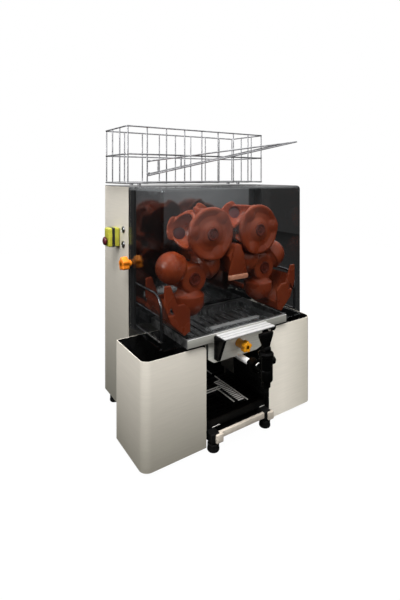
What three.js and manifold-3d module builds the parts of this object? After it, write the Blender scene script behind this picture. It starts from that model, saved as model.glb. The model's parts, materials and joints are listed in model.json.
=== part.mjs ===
// Automatic orange juicer for a counter. Fruit waits in a wire basket on the cabinet, four geared
// drums behind a clear cover halve and press it, and the juice runs through a strainer and a tank
// to a tap. Peel drops into a bin on each side of the jug bay.
// Millimetres, +X right, +Y back, +Z up. Depths are counted from the front face of the cabinet.

import * as THREE from 'three';
import { mergeVertices } from 'three/addons/utils/BufferGeometryUtils.js';
import Module from 'manifold-3d';

const wasm = await Module();
wasm.setup();

// Gaps and roundness
const seat = 0.3;
const running = 1;
const overrun = 5;
const weld = 0.001;
const roundSides = 20;
const smallSides = 10;
const cornerSteps = 4;
const guardSides = 6;
const drumSides = 30;
const stationSides = 12;
const stationRings = 6;

// Cabinet
const cabinetDepth = 158;
const cabinetBottom = 30;
const cabinetTop = 592;
const panelSheet = 1.5;
const panelFlange = 14;
const frontPlateSheet = 3;
const floorSheet = 2;
const ventCount = 7;
const ventWidth = 120;
const ventHeight = 5;
const ventPitch = 16;
const ventMiddleX = 92;
const ventLowest = 380;

// Base frame of square tube, with its feet
const tubeSize = 22;
const tubeWall = 2;
const tubeX = 78;
const tubeFront = -185;
const tubeBack = 150;
const footHeight = 20;
const frontFootRadius = 14;
const frontFootY = -174;
const rearFootRadius = 13;
const rearFootX = 188;
const rearFootY = 138;
const rearStemRadius = 6;
const footTaper = 2;
const footRing = 4;
const crossbarHeight = 13;
const crossbarThickness = 8;
const crossbarY = -172;

// Drums and their shafts
const upperShaftX = 72;
const upperShaftZ = 484;
const lowerShaftX = 107;
const pocketRadius = 41;
const pocketWall = 4;
const ballRadius = 36;
const neckRadius = 29;
const stationRadius = 54;
const drumMiddleY = -116;
const cupReach = 70.5;
const cupRelief = 58;
const discRadius = 62;
const discThickness = 6;
const discRim = 8;
const discRecess = 2;
const medallionRadius = 15;
const medallionHeight = 4;
const medallionRing = 4;
const medallionRecess = 2;
const coreRadius = 40;
const backDiscRadius = 50;
const ballHubRadius = 34;
const ballHubFront = -142;
const ballHubBack = -78;
const stationCount = 3;
const cupPhaseDegrees = 172;
const shaftRadius = 10;
const shaftEndDepth = 12;

// Gears behind the front plate
const gearModule = 6;
const syncTeeth = 24;
const driveTeeth = 18;
const pinionTeeth = 9;
const gearWidth = 10;
const syncGearY = 22;
const driveGearY = 42;
const gearHubRadius = 18;
const toothTip = 4.2;
const toothRoot = 5.6;
const toothTipShare = 0.11;
const toothRootShare = 0.28;
const gearPlateY = 60;
const gearPlateSheet = 5;
const gearPlateHalfWidth = 150;
const gearPlateBottom = 252;
const gearPlateTop = 568;
const pillarRadius = 7;
const pillarInset = 12;
const blockHalfWidth = 24;
const blockThickness = 12;
const bossRadius = 20;
const bossFront = -8;

// Motor
const motorRadius = 36;
const motorLength = 52;
const gearboxHalf = 40;
const gearboxLength = 34;
const motorShaftRadius = 7;
const motorSocket = 16;
const controlBoxX = 105;
const controlBoxWidth = 90;
const controlBoxDepth = 60;
const controlBoxHeight = 100;
const controlBoxY = 105;
const inletX = -150;
const inletZ = 80;
const inletWidth = 48;
const inletHeight = 28;
const inletDepth = 22;
const inletRecess = 12;
const inletWall = 4;

// Clear cover and the black frame inside its rear edge
const coverWall = 3;
const coverClearance = 8;
const coverFront = -175;
const coverBack = -2;
const coverBottom = 252;
const coverRound = 9;
const coverNotchHalfWidth = 152;
const coverNotchTop = 265.5;
const infeedHalfWidth = 48;
const infeedBack = -72;
const infeedFront = -158;
const infeedRound = 16;
const frameWidth = 28;
const frameSheet = 5;
const lockY = -15;
const lockZ = 408;
const lockStudRadius = 4;
const lockSlotRise = 4;
const lockStudReach = 8;
const lockBossRadius = 8;
const lockBossLength = 8;
const starLength = 17;
const starRadius = 16.5;
const starLobes = 5;
const starDip = 4;
const starSteps = 6;

// Knife holder and blade
const bladeHalfThickness = 0.6;
const bladeTop = 492;
const bladeBottom = 432;
const bladeFront = -156;
const bladeBack = -80;
const bladeSlotHalfWidth = 0.9;
const wedgeFront = -168;
const wedgeBack = -162.5;
const wedgeLow = 384;
const wedgeHigh = 455;
const wedgeLowHalf = 28;
const wedgeHighHalf = 8;
const wedgeLipFront = -170.5;
const wedgeLipHeight = 12;
const spineLowHalf = 14;
const spineMiddleHalf = 24;
const spineHighHalf = 5.5;
const spineMiddleZ = 428;
const spineShoulderZ = 402;
const spineShoulderHalf = 16;
const spineNeckZ = 440;
const spineNeckHalf = 14;

// Peel ejectors
const ejectorFront = -163;
const ejectorBack = -69;
const ejectorCheek = 5;
const ejectorCoverGap = 9;
const ejectorInnerX = 131;
const ejectorTopZ = 384;
const ejectorTipZ = 267;
const ejectorBandWidth = 16;
const ejectorPlateTopZ = 338;
const ejectorBallGap = 3;
const ejectorHoleX = 180;
const ejectorHoleZ = 326;
const ejectorHoleSize = 9;
const ejectorBossX = 156;
const ejectorBossZ = 292;
const ejectorBossRadius = 8;

// Wire peel guards
const guardCoverGap = 1.2;
const guardRodRadius = 3;
const wireRadius = 2;
const guardTop = 362;
const guardBottom = 262;
const guardFront = -157;
const guardRound = 34;
const guardMiddle = 316;

// Juice tank, strainer, outlet and tap
const tankBarHalfWidth = 149;
const tankBarFront = -178;
const tankBarDepth = 8;
const tankTop = 263;
const trayFloor = 244.3;
const trayBack = -6;
const tankSheet = 1.5;
const wellHalfWidth = 91;
const wellFrontTop = -170;
const wellFrontBottom = -115;
const wellBack = -12;
const wellBottom = 176;
const runnerInnerX = 104;
const runnerOuterX = 134;
const runnerHeight = 4.5;
const runnerFront = -165;
const strainerHalfWidth = 125;
const strainerFront = -166;
const strainerBack = -20;
const strainerTop = 260;
const strainerSheet = 1.5;
const strainerSlotCount = 9;
const strainerSlotPitch = 24;
const strainerSlotWidth = 6;
const strainerSlotMargin = 16;
const pipeRadius = 7.5;
const pipeWall = 1.5;
const pipeZ = 190;
const pipeBack = -104;
const pipeFront = -214;
const tapY = -262;
const tapRadius = 15;
const tapTop = 235;
const tapBottom = 172;
const spoutRadius = 10;
const spoutBottom = 158;
const spoutWall = 2.5;
const tapNutRadius = 14;
const tapNutLength = 18;
const nutSides = 6;
const tapShankRadius = 10;
const tapBonnetRadius = 9;
const tapBonnetReach = 9;
const tapBonnetZ = 212;
const tapShoulder = 4;
const leverPivotZ = 240;
const leverBarrelRadius = 7;
const leverBarrelHalf = 9;
const leverCradleGap = 0.5;
const leverTop = 273;
const leverNeckHalf = 7;
const leverFanHalf = 17;
const leverFanHeight = 10;
const leverThickness = 9;
const leverNeckTop = 260;
const ledgeHalfWidth = 75;
const ledgeFront = -214;
const ledgeTop = 261;
const ledgeThickness = 3;
const ledgeRibCount = 5;
const ledgeRibHeight = 1;
const ledgeRibShare = 0.5;
const bracketThickness = 8;
const bracketBottom = 206;
const bracketFoot = 14;
const bracketSheet = 2;
const tankKnobZ = 222;
const tankKnobHeadY = -188;
const tankKnobLength = 14;
const tankKnobRadius = 13;
const tankKnobBossRadius = 10;
const tankKnobGap = 1;

// Peel bins and the shelves under them
const binInnerX = 95;
const binOuterX = 250;
const binFront = -171.5;
const binBack = -29;
const binTop = 237;
const binBottom = 9.4;
const binSheet = 1.5;
const binRound = 20;
const binTopRound = 12;
const shelfSheet = 2;
const shelfFront = -160;
const shelfBack = -40;
const shelfOuterX = 236;

// Jug bay
const trayHalfWidth = 88;
const trayFront = -163;
const dripTrayBack = -6;
const dripTrayTop = 58;
const dripTraySheet = 2;
const gridThickness = 3;
const gridSlotCount = 11;
const gridSlotPitch = 13;
const gridSlotWidth = 7;
const gridRowCount = 2;
const gridRowGap = 12;
const gridEdge = 12;

// Basket and feed guide of round wire
const basketHalfWidth = 217;
const basketFront = -13;
const basketBack = 131;
const basketHeight = 138;
const basketMiddleShare = 0.5116;
const basketLegHeight = 8;
const basketLeg = 5;
const basketWireStep = 0.3;
const basketBaysX = 8;
const basketBaysY = 3;
const wireSides = 4;
const guideStartOffset = 5.25;
const guideStartDepth = 11;
const guideTopShare = 0.384;
const guideLowShare = 0.1304;
const guideTipReach = 18;
const guideTipDepth = 121;
const guideTipDrop = 26;
const guideRungShare = 0.2;
const clipWidth = 12;
const clipOverlap = 2;

// Stop box and push-buttons on the left panel
const stopBoxReach = 30;
const stopBoxFront = 50;
const stopBoxBack = 82;
const stopBoxLow = 438;
const stopBoxHigh = 486;
const stopBoxRound = 4;
const stopButtonZ = 453;
const stopButtonRadius = 11;
const stopButtonHeight = 6;
const stopStemRadius = 5;
const stopStemLength = 10;
const stopTravel = 3;
const buttonY = 29;
const buttonHighZ = 483;
const buttonLowZ = 446;
const buttonRadius = 7;
const buttonProud = 3.5;
const buttonDepth = 12;
const buttonDome = 2;
const bezelRadius = 9;
const bezelProud = 1.5;

// Places that follow from the sizes above
const cabinetHalfWidth = lowerShaftX + stationRadius + ballRadius + coverClearance + coverWall;
const ejectorOuterX = cabinetHalfWidth - coverWall - ejectorCoverGap;
const guardX = cabinetHalfWidth - coverWall - guardRodRadius - guardCoverGap;
const basketBase = cabinetTop + basketLegHeight;
const basketRim = basketBase + basketHeight;
const basketMiddle = basketBase + basketMiddleShare * basketHeight;
const guideUprightX = 2 * basketHalfWidth / basketBaysX - basketHalfWidth;
const guideStart = [guideUprightX - guideStartOffset, basketFront - guideStartDepth];
const guideTip = [basketHalfWidth + guideTipReach, basketFront - guideTipDepth,
  basketRim - guideTipDrop];
const guideTopZ = basketBase + guideTopShare * basketHeight;
const guideLowZ = basketBase + guideLowShare * basketHeight;
const insideX = cabinetHalfWidth - panelSheet;
const lowerShaftZ = upperShaftZ
  - Math.sqrt((2 * stationRadius) ** 2 - (lowerShaftX - upperShaftX) ** 2);
const pocketOuter = pocketRadius + pocketWall;
const drumFront = drumMiddleY - pocketOuter - pocketWall;
const drumBack = drumMiddleY + pocketOuter;
const driveRadius = gearModule * driveTeeth / 2;
const pinionRadius = gearModule * pinionTeeth / 2;
const motorX = -lowerShaftX;
const motorZ = lowerShaftZ - driveRadius - pinionRadius;
const tubeTop = footHeight + tubeSize;
const panelTop = cabinetTop - panelSheet - seat;
const depthMiddle = (cabinetDepth + tapY - tapRadius - tapShoulder / 2) / 2;

// Shape tools

function solidOf(geometry) {
  geometry.deleteAttribute('normal');
  geometry.deleteAttribute('uv');
  const welded = mergeVertices(geometry, weld);
  const corners = welded.getAttribute('position').array;
  const at = (i) => new THREE.Vector3().fromArray(corners, 3 * i);
  const faces = [];
  let volume = 0;
  for (let i = 0; i < welded.index.count; i += 3) {
    const [a, b, c] = [0, 1, 2].map((k) => welded.index.getX(i + k));
    if (a === b || b === c || c === a) continue;
    faces.push([a, b, c]);
    volume += at(a).dot(at(b).cross(at(c)));
  }
  const wound = volume < 0 ? faces.map(([a, b, c]) => [a, c, b]) : faces;
  return new wasm.Manifold(new wasm.Mesh({
    numProp: 3,
    vertProperties: Float32Array.from(corners),
    triVerts: Uint32Array.from(wound.flat()),
  }));
}

const join = (first, ...rest) => rest.reduce((sum, part) => sum.add(part), first);
const cut = (first, ...rest) => rest.reduce((left, part) => left.subtract(part), first);

// Each axis has the two directions of its outline, then the direction of its depth.
const bases = {
  x: [[0, 1, 0], [0, 0, 1], [1, 0, 0]],
  y: [[1, 0, 0], [0, 0, 1], [0, -1, 0]],
  z: [[1, 0, 0], [0, 1, 0], [0, 0, 1]],
};

function turnTo(axis) {
  return new THREE.Matrix4().makeBasis(...bases[axis].map((row) => new THREE.Vector3(...row)));
}

function block(x0, x1, y0, y1, z0, z1) {
  const box = new THREE.BoxGeometry(Math.abs(x1 - x0), Math.abs(y1 - y0), Math.abs(z1 - z0));
  return solidOf(box.translate((x0 + x1) / 2, (y0 + y1) / 2, (z0 + z1) / 2));
}

function slab(axis, outline, low, high) {
  const shape = new THREE.Shape(outline.map(([u, v]) => new THREE.Vector2(u, v)));
  const body = new THREE.ExtrudeGeometry(shape, { depth: high - low, bevelEnabled: false });
  body.applyMatrix4(turnTo(axis));
  const start = { x: [low, 0, 0], y: [0, high, 0], z: [0, 0, low] }[axis];
  return solidOf(body.translate(...start));
}

function rod(axis, radius, u, v, low, high, sides = roundSides) {
  const middle = (low + high) / 2;
  const body = new THREE.CylinderGeometry(radius, radius, high - low, sides);
  if (axis === 'x') body.rotateZ(Math.PI / 2).translate(middle, u, v);
  if (axis === 'y') body.translate(u, middle, v);
  if (axis === 'z') body.rotateX(Math.PI / 2).translate(u, v, middle);
  return solidOf(body);
}

// A profile of [radius, depth] pairs turned about a line along Y through x and z.
function turned(profile, x, z, sides = roundSides) {
  const points = profile.map(([radius, depth]) => new THREE.Vector2(radius, depth));
  return solidOf(new THREE.LatheGeometry(points, sides).translate(x, 0, z));
}

function wire(from, to, radius = wireRadius, sides = wireSides) {
  const [start, end] = [from, to].map((point) => new THREE.Vector3(...point));
  const run = end.clone().sub(start);
  const body = new THREE.CylinderGeometry(radius, radius, run.length(), sides);
  const up = new THREE.Vector3(0, 1, 0);
  body.applyQuaternion(new THREE.Quaternion().setFromUnitVectors(up, run.clone().normalize()));
  return solidOf(body.translate(...start.add(end).divideScalar(2)));
}

// Replaces each corner of a polygon by an arc. A radius of zero keeps the corner.
function rounded(points, radii) {
  return points.flatMap((point, i) => {
    const radius = Array.isArray(radii) ? radii[i] : radii;
    if (radius === 0) return [point];
    const here = new THREE.Vector2(...point);
    const toward = (j) => new THREE.Vector2(...points[(j + points.length) % points.length])
      .sub(here).normalize();
    const [back, ahead] = [toward(i - 1), toward(i + 1)];
    const half = Math.acos(back.dot(ahead)) / 2;
    const middle = back.clone().add(ahead).normalize().multiplyScalar(radius / Math.sin(half));
    const spread = Math.PI / 2 - half;
    const inward = Math.atan2(-middle.y, -middle.x);
    const side = Math.sign(back.cross(ahead));
    return Array.from({ length: cornerSteps + 1 }, (_, k) => {
      const angle = inward + side * spread * (1 - 2 * k / cornerSteps);
      return [here.x + middle.x + radius * Math.cos(angle), here.y + middle.y + radius * Math.sin(angle)];
    });
  });
}

const rectangle = (u0, u1, v0, v1) => [[u0, v0], [u1, v0], [u1, v1], [u0, v1]];

// Finishes, as seen in the photograph

const paint = (color, roughness, metalness) => new THREE.MeshStandardMaterial({
  color, roughness, metalness,
});
const finish = {
  champagne: paint(0xc9c1b0, 0.4, 0.6),
  steel: paint(0xb9bab8, 0.3, 0.9),
  chrome: paint(0xd8dadb, 0.12, 1),
  darkSteel: paint(0x6d6f70, 0.35, 0.9),
  terracotta: paint(0xa34a32, 0.4, 0),
  orange: paint(0xe87f22, 0.4, 0),
  black: paint(0x141414, 0.45, 0),
  rubber: paint(0x1b1b1b, 0.8, 0),
  white: paint(0xeeeeea, 0.4, 0),
  beige: paint(0xcbbfa8, 0.5, 0.2),
  yellow: paint(0xb9b52f, 0.45, 0),
  red: paint(0x8d1c18, 0.4, 0),
  green: paint(0x3f7f4f, 0.4, 0),
  clear: new THREE.MeshStandardMaterial({
    color: 0xcfd6da, roughness: 0.08, metalness: 0, transparent: true, opacity: 0.25,
  }),
};

const machine = new THREE.Group();
machine.position.y = -depthMiddle;

function add(name, solid, material) {
  const { vertProperties, triVerts } = solid.getMesh();
  const geometry = new THREE.BufferGeometry();
  geometry.setAttribute('position', new THREE.BufferAttribute(vertProperties, 3));
  geometry.setIndex(new THREE.BufferAttribute(triVerts, 1));
  geometry.computeVertexNormals();
  const mesh = new THREE.Mesh(geometry, material);
  mesh.name = name;
  machine.add(mesh);
}

const sides = [['left', -1], ['right', 1]];

// Cabinet of folded sheet

function sidePanel(side) {
  const outer = side * cabinetHalfWidth;
  const inner = side * insideX;
  const back = cabinetDepth - panelSheet - seat;
  const panel = join(
    block(outer, inner, 0, back, cabinetBottom, panelTop),
    block(inner - side * panelFlange, outer, back - panelSheet, back, cabinetBottom, panelTop),
  );
  if (side > 0) return panel;
  const holes = [buttonHighZ, buttonLowZ].map((z) => rod('x', buttonRadius + running / 2, buttonY, z,
    outer - overrun, inner + overrun, smallSides));
  const bezels = [buttonHighZ, buttonLowZ].map((z) => rod('x', bezelRadius, buttonY, z,
    outer - bezelProud, inner, roundSides));
  return cut(join(panel, ...bezels), ...holes);
}

function frontPlate() {
  const edge = insideX - seat;
  const plate = block(-edge, edge, 0, frontPlateSheet, tubeTop + seat, panelTop);
  const holes = sides.flatMap(([, side]) => shaftPlaces(side).map(([x, z]) => rod('y',
    bossRadius + seat, x, z, -overrun, frontPlateSheet + overrun)));
  const runners = sides.map(([, side]) => block(side * runnerInnerX, side * runnerOuterX,
    runnerFront, frontPlateSheet, trayFloor - seat - runnerHeight, trayFloor - seat));
  return join(cut(plate, ...holes), ...runners);
}

function topPanel() {
  const low = cabinetTop - panelSheet;
  return block(-cabinetHalfWidth, cabinetHalfWidth, 0, cabinetDepth, low, cabinetTop);
}

function rearCover() {
  const back = cabinetDepth;
  const sheet = block(-cabinetHalfWidth, cabinetHalfWidth, back - panelSheet, back,
    cabinetBottom, panelTop);
  const vents = [];
  for (const [, side] of sides) {
    for (let i = 0; i < ventCount; i += 1) {
      const z = ventLowest + i * ventPitch;
      const x = side * ventMiddleX;
      vents.push(block(x - ventWidth / 2, x + ventWidth / 2, back - overrun, back + overrun,
        z, z + ventHeight));
    }
  }
  const inlet = block(inletX - inletWidth / 2, inletX + inletWidth / 2, back - overrun,
    back + overrun, inletZ - inletHeight / 2, inletZ + inletHeight / 2);
  return cut(sheet, inlet, ...vents);
}

function basePlate() {
  const edge = insideX - seat;
  const back = cabinetDepth - 2 * (panelSheet + seat) - seat;
  const low = tubeTop + seat;
  return block(-edge, edge, frontPlateSheet + seat, back, low, low + floorSheet);
}

function coverFrame() {
  const edge = cabinetHalfWidth - coverWall - seat;
  const top = cabinetTop - coverWall - seat;
  const outer = rounded(rectangle(-edge, edge, coverBottom, top),
    [0, 0, coverRound - coverWall, coverRound - coverWall]);
  const inner = rectangle(-edge + frameSheet, edge - frameSheet, coverBottom - overrun,
    top - frameSheet);
  const ring = cut(slab('y', outer, -frameWidth, -seat),
    slab('y', inner, -frameWidth - overrun, overrun));
  const studHoles = sides.map(([, side]) => rod('x', lockStudRadius + seat, lockY, lockZ,
    Math.min(0, side * cabinetHalfWidth), Math.max(0, side * cabinetHalfWidth), smallSides));
  return cut(ring, ...studHoles);
}

add('left_side_panel', sidePanel(-1), finish.champagne);
add('right_side_panel', sidePanel(1), finish.champagne);
add('top_panel', topPanel(), finish.steel);
add('rear_cover', rearCover(), finish.champagne);
add('front_plate', frontPlate(), finish.steel);
add('base_plate', basePlate(), finish.steel);
add('cover_frame', coverFrame(), finish.black);

// Base frame, feet, drip tray and jug grid

function baseFrame() {
  const half = tubeSize / 2;
  const tubes = sides.map(([, side]) => cut(
    block(side * tubeX - half, side * tubeX + half, tubeFront, tubeBack, footHeight, tubeTop),
    block(side * tubeX - half + tubeWall, side * tubeX + half - tubeWall, tubeFront + tubeWall,
      tubeBack + overrun, footHeight + tubeWall, tubeTop - tubeWall),
  ));
  const bar = block(-tubeX, tubeX, crossbarY, crossbarY + crossbarThickness,
    footHeight, footHeight + crossbarHeight);
  const trimmed = cut(bar, ...sides.map(([, side]) => block(side * tubeX - half + tubeWall,
    side * tubeX + half - tubeWall, tubeFront, tubeBack, 0, tubeTop - tubeWall)));
  const inside = trimmed.intersect(block(-tubeX + half - tubeWall, tubeX - half + tubeWall,
    tubeFront, tubeBack, 0, tubeTop));
  return join(tubes[0], tubes[1], inside);
}

function foot(radius, x, y, top, stemTop) {
  const profile = [[0, 0], [radius - footTaper, 0], [radius, footTaper], [radius, footRing],
    [radius - footTaper, top], [0, top]].map(([r, z]) => new THREE.Vector2(r, z));
  const body = new THREE.LatheGeometry(profile, roundSides);
  const base = solidOf(body.rotateX(Math.PI / 2).translate(x, y, 0));
  if (stemTop === top) return base;
  return base.add(rod('z', rearStemRadius, x, y, top - footRing, stemTop, smallSides));
}

function dripTray() {
  const low = tubeTop + seat;
  const wall = dripTraySheet;
  return cut(
    block(-trayHalfWidth, trayHalfWidth, trayFront, dripTrayBack, low, dripTrayTop),
    block(-trayHalfWidth + wall, trayHalfWidth - wall, trayFront + wall, dripTrayBack - wall,
      low + wall, dripTrayTop + overrun),
  );
}

function jugGrid() {
  const low = dripTrayTop + seat;
  const plate = block(-trayHalfWidth, trayHalfWidth, trayFront, dripTrayBack, low,
    low + gridThickness);
  const middle = (trayFront + dripTrayBack) / 2;
  const slots = [];
  for (const [, side] of sides) {
    for (let i = 0; i < gridSlotCount; i += 1) {
      const y = middle + (i - (gridSlotCount - 1) / 2) * gridSlotPitch;
      slots.push(block(side * gridRowGap / gridRowCount, side * (trayHalfWidth - gridEdge),
        y - gridSlotWidth / 2, y + gridSlotWidth / 2, low - overrun, low + overrun));
    }
  }
  return cut(plate, ...slots);
}

add('base_frame', baseFrame(), finish.beige);
for (const [name, side] of sides) {
  const frontTop = footHeight - seat;
  add(`front_${name}_foot`, foot(frontFootRadius, side * tubeX, frontFootY, frontTop, frontTop),
    finish.rubber);
  add(`rear_${name}_foot`, foot(rearFootRadius, side * rearFootX, rearFootY,
    cabinetBottom - seat, tubeTop), finish.rubber);
}
add('drip_tray', dripTray(), finish.black);
add('jug_grid', jugGrid(), finish.steel);

// Drums. Stations are the places of the cups or balls, at one radius from the shaft.

function shaftPlaces(side) {
  return [[side * upperShaftX, upperShaftZ], [side * lowerShaftX, lowerShaftZ]];
}

function stationAngles(start) {
  return Array.from({ length: stationCount },
    (_, i) => start + i * 2 * Math.PI / stationCount);
}

// The tooth or ball angle on a wheel that meshes with a partner in the direction of line.
const meshed = (angle, teeth, line, partnerTeeth, offset) => line + Math.PI
  - (angle - line) * teeth / partnerTeeth + offset;
const mirrored = (angle, side) => (side < 0 ? angle : Math.PI - angle);

const leftLine = Math.atan2(lowerShaftZ - upperShaftZ, upperShaftX - lowerShaftX);
const leftCupAngle = THREE.MathUtils.degToRad(cupPhaseDegrees);
const leftBallAngle = meshed(leftCupAngle, 1, leftLine, 1, 0);

function radial(angle, x, z, from, to, radius, sideCount = stationSides) {
  const [c, s] = [Math.cos(angle), Math.sin(angle)];
  return wire([x + from * c, drumMiddleY, z + from * s], [x + to * c, drumMiddleY, z + to * s],
    radius, sideCount);
}

function sphereAt(angle, x, z, distance, radius) {
  const body = new THREE.SphereGeometry(radius, stationSides, stationRings);
  const direction = new THREE.Vector3(Math.cos(angle), 0, Math.sin(angle));
  const up = new THREE.Vector3(0, 1, 0);
  body.applyQuaternion(new THREE.Quaternion().setFromUnitVectors(up, direction));
  return solidOf(body.translate(x + distance * direction.x, drumMiddleY, z + distance * direction.z));
}

function medallion(front, x, z) {
  const high = front - medallionHeight;
  return turned([[0, front + overrun], [medallionRadius, front + overrun],
    [medallionRadius, high + medallionRecess], [medallionRadius - medallionRecess, high],
    [medallionRadius - medallionRing, high],
    [medallionRadius - medallionRing, high + medallionRecess], [0, high + medallionRecess]],
  x, z, roundSides);
}

const shaftBore = (x, z) => rod('y', shaftRadius + seat, x, z, ballHubFront + shaftEndDepth - seat,
  overrun, smallSides);

function cupDrum(side) {
  const x = side * upperShaftX;
  const z = upperShaftZ;
  const angles = stationAngles(mirrored(leftCupAngle, side));
  const core = turned([[0, drumFront], [coreRadius, drumFront], [coreRadius, drumBack - discThickness],
    [backDiscRadius, drumBack - discThickness], [backDiscRadius, drumBack], [0, drumBack]], x, z);
  const disc = turned([[0, drumFront + discThickness], [discRadius, drumFront + discThickness],
    [discRadius, drumFront + discRecess], [discRadius - discRecess, drumFront],
    [discRadius - discRim, drumFront], [discRadius - discRim - discRecess, drumFront + discRecess],
    [0, drumFront + discRecess]], x, z, drumSides);
  const cups = angles.flatMap((angle) => [
    sphereAt(angle, x, z, stationRadius, pocketOuter),
    radial(angle, x, z, stationRadius, cupReach + overrun, pocketOuter)]);
  const drum = rod('y', cupReach, x, z, drumFront, drumBack, drumSides);
  const reliefHalf = ballRadius + 2 * running;
  const relief = cut(
    rod('y', cupReach + overrun, x, z, drumMiddleY - reliefHalf, drumMiddleY + reliefHalf),
    rod('y', cupRelief, x, z, drumMiddleY - pocketOuter, drumMiddleY + pocketOuter, drumSides),
  );
  const pockets = angles.flatMap((angle) => [
    sphereAt(angle, x, z, stationRadius, pocketRadius),
    radial(angle, x, z, stationRadius, cupReach + overrun, pocketRadius)]);
  const body = join(core, ...cups).intersect(drum);
  return cut(join(cut(body, relief, ...pockets), disc, medallion(drumFront + discRecess, x, z)),
    shaftBore(x, z));
}

function ballDrum(side) {
  const x = side * lowerShaftX;
  const z = lowerShaftZ;
  const angles = stationAngles(mirrored(leftBallAngle, side));
  const hub = turned([[0, ballHubFront], [ballHubRadius - discRecess, ballHubFront],
    [ballHubRadius, ballHubFront + discRecess], [ballHubRadius, ballHubBack], [0, ballHubBack]], x, z);
  const balls = angles.flatMap((angle) => [
    sphereAt(angle, x, z, stationRadius, ballRadius),
    radial(angle, x, z, shaftRadius, stationRadius, neckRadius)]);
  return cut(join(hub, ...balls, medallion(ballHubFront, x, z)), shaftBore(x, z));
}

function shaft([x, z]) {
  const front = ballHubFront + shaftEndDepth;
  return rod('y', shaftRadius, x, z, front, gearPlateY + gearPlateSheet, smallSides);
}

// Gears

function gear(teeth, phase, y, x, z) {
  const pitch = 2 * Math.PI / teeth;
  const radius = gearModule * teeth / 2;
  const outline = [];
  for (let i = 0; i < teeth; i += 1) {
    const middle = phase + i * pitch;
    outline.push(...[[-toothRootShare, radius - toothRoot], [-toothTipShare, radius + toothTip],
      [toothTipShare, radius + toothTip], [toothRootShare, radius - toothRoot]]
      .map(([share, reach]) => [x + reach * Math.cos(middle + share * pitch),
        z + reach * Math.sin(middle + share * pitch)]));
  }
  return slab('y', outline, y - gearWidth / 2, y + gearWidth / 2);
}

const halfPitch = (teeth) => Math.PI / teeth;
const syncPhase = { left: 0, right: meshed(0, syncTeeth, 0, syncTeeth, halfPitch(syncTeeth)) };
const upperDrivePhase = leftLine;
const lowerDrivePhase = meshed(leftLine, driveTeeth, leftLine, driveTeeth, halfPitch(driveTeeth));
const motorLine = -Math.PI / 2;
const pinionPhase = meshed(lowerDrivePhase, driveTeeth, motorLine, pinionTeeth,
  halfPitch(pinionTeeth));

function gearOn([x, z], wheels) {
  const low = syncGearY - gearWidth / 2;
  const high = driveGearY + gearWidth / 2;
  const hub = rod('y', gearHubRadius, x, z, low, high);
  return cut(join(hub, ...wheels), rod('y', shaftRadius + seat, x, z, low - overrun,
    high + overrun, smallSides));
}

for (const [name, side] of sides) {
  const [upper, lower] = shaftPlaces(side);
  add(`upper_${name}_drum`, cupDrum(side), finish.terracotta);
  add(`lower_${name}_drum`, ballDrum(side), finish.terracotta);
  add(`upper_${name}_shaft`, shaft(upper), finish.steel);
  add(`lower_${name}_shaft`, shaft(lower), finish.steel);
  add(`upper_${name}_gear`, gearOn(upper, [
    gear(syncTeeth, syncPhase[name], syncGearY, ...upper),
    gear(driveTeeth, mirrored(upperDrivePhase, side), driveGearY, ...upper)]), finish.darkSteel);
  add(`lower_${name}_gear`, gearOn(lower, [
    gear(driveTeeth, mirrored(lowerDrivePhase, side), driveGearY, ...lower)]), finish.darkSteel);
}

function bearingBlock(side) {
  const [[ux, uz], [lx, lz]] = shaftPlaces(side);
  const run = new THREE.Vector2(lx - ux, lz - uz).normalize();
  const across = [-run.y * blockHalfWidth, run.x * blockHalfWidth];
  const end = [run.x * blockHalfWidth, run.y * blockHalfWidth];
  const outline = rounded([
    [ux - end[0] + across[0], uz - end[1] + across[1]],
    [ux - end[0] - across[0], uz - end[1] - across[1]],
    [lx + end[0] - across[0], lz + end[1] - across[1]],
    [lx + end[0] + across[0], lz + end[1] + across[1]]], bossRadius / 2);
  const low = frontPlateSheet + seat;
  const plate = slab('y', outline, low, low + blockThickness);
  const bosses = shaftPlaces(side).map(([x, z]) => rod('y', bossRadius, x, z, bossFront, low + seat));
  const bores = shaftPlaces(side).map(([x, z]) => rod('y', shaftRadius + seat, x, z,
    bossFront - overrun, low + blockThickness + overrun));
  return cut(join(plate, ...bosses), ...bores);
}

function gearHousing() {
  const plate = block(-gearPlateHalfWidth, gearPlateHalfWidth, gearPlateY,
    gearPlateY + gearPlateSheet, gearPlateBottom, gearPlateTop);
  const pillars = sides.flatMap(([, side]) => [gearPlateBottom + pillarInset,
    gearPlateTop - pillarInset].map((z) => rod('y', pillarRadius,
    side * (gearPlateHalfWidth - pillarInset), z, frontPlateSheet + seat, gearPlateY + seat,
    smallSides)));
  const bores = sides.flatMap(([, side]) => shaftPlaces(side)).map(([x, z]) => rod('y',
    shaftRadius + seat, x, z, gearPlateY - overrun, gearPlateY + 2 * overrun));
  const motorBore = rod('y', motorShaftRadius + running, motorX, motorZ, gearPlateY - overrun,
    gearPlateY + 2 * overrun, smallSides);
  return cut(join(plate, ...pillars), ...bores, motorBore);
}

function motor() {
  const face = gearPlateY + gearPlateSheet + seat;
  const mid = face + gearboxLength;
  const body = join(
    slab('y', rounded(rectangle(motorX - gearboxHalf, motorX + gearboxHalf, motorZ - gearboxHalf,
      motorZ + gearboxHalf), coverRound / 2), face, mid),
    rod('y', motorRadius, motorX, motorZ, mid - seat, mid + motorLength),
  );
  return cut(body, rod('y', motorShaftRadius + seat, motorX, motorZ, face - overrun,
    face + motorSocket));
}

function pinion() {
  const back = gearPlateY + gearPlateSheet + motorSocket - seat;
  return join(gear(pinionTeeth, pinionPhase, driveGearY, motorX, motorZ),
    rod('y', motorShaftRadius, motorX, motorZ, driveGearY - gearWidth, back, smallSides));
}

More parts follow.
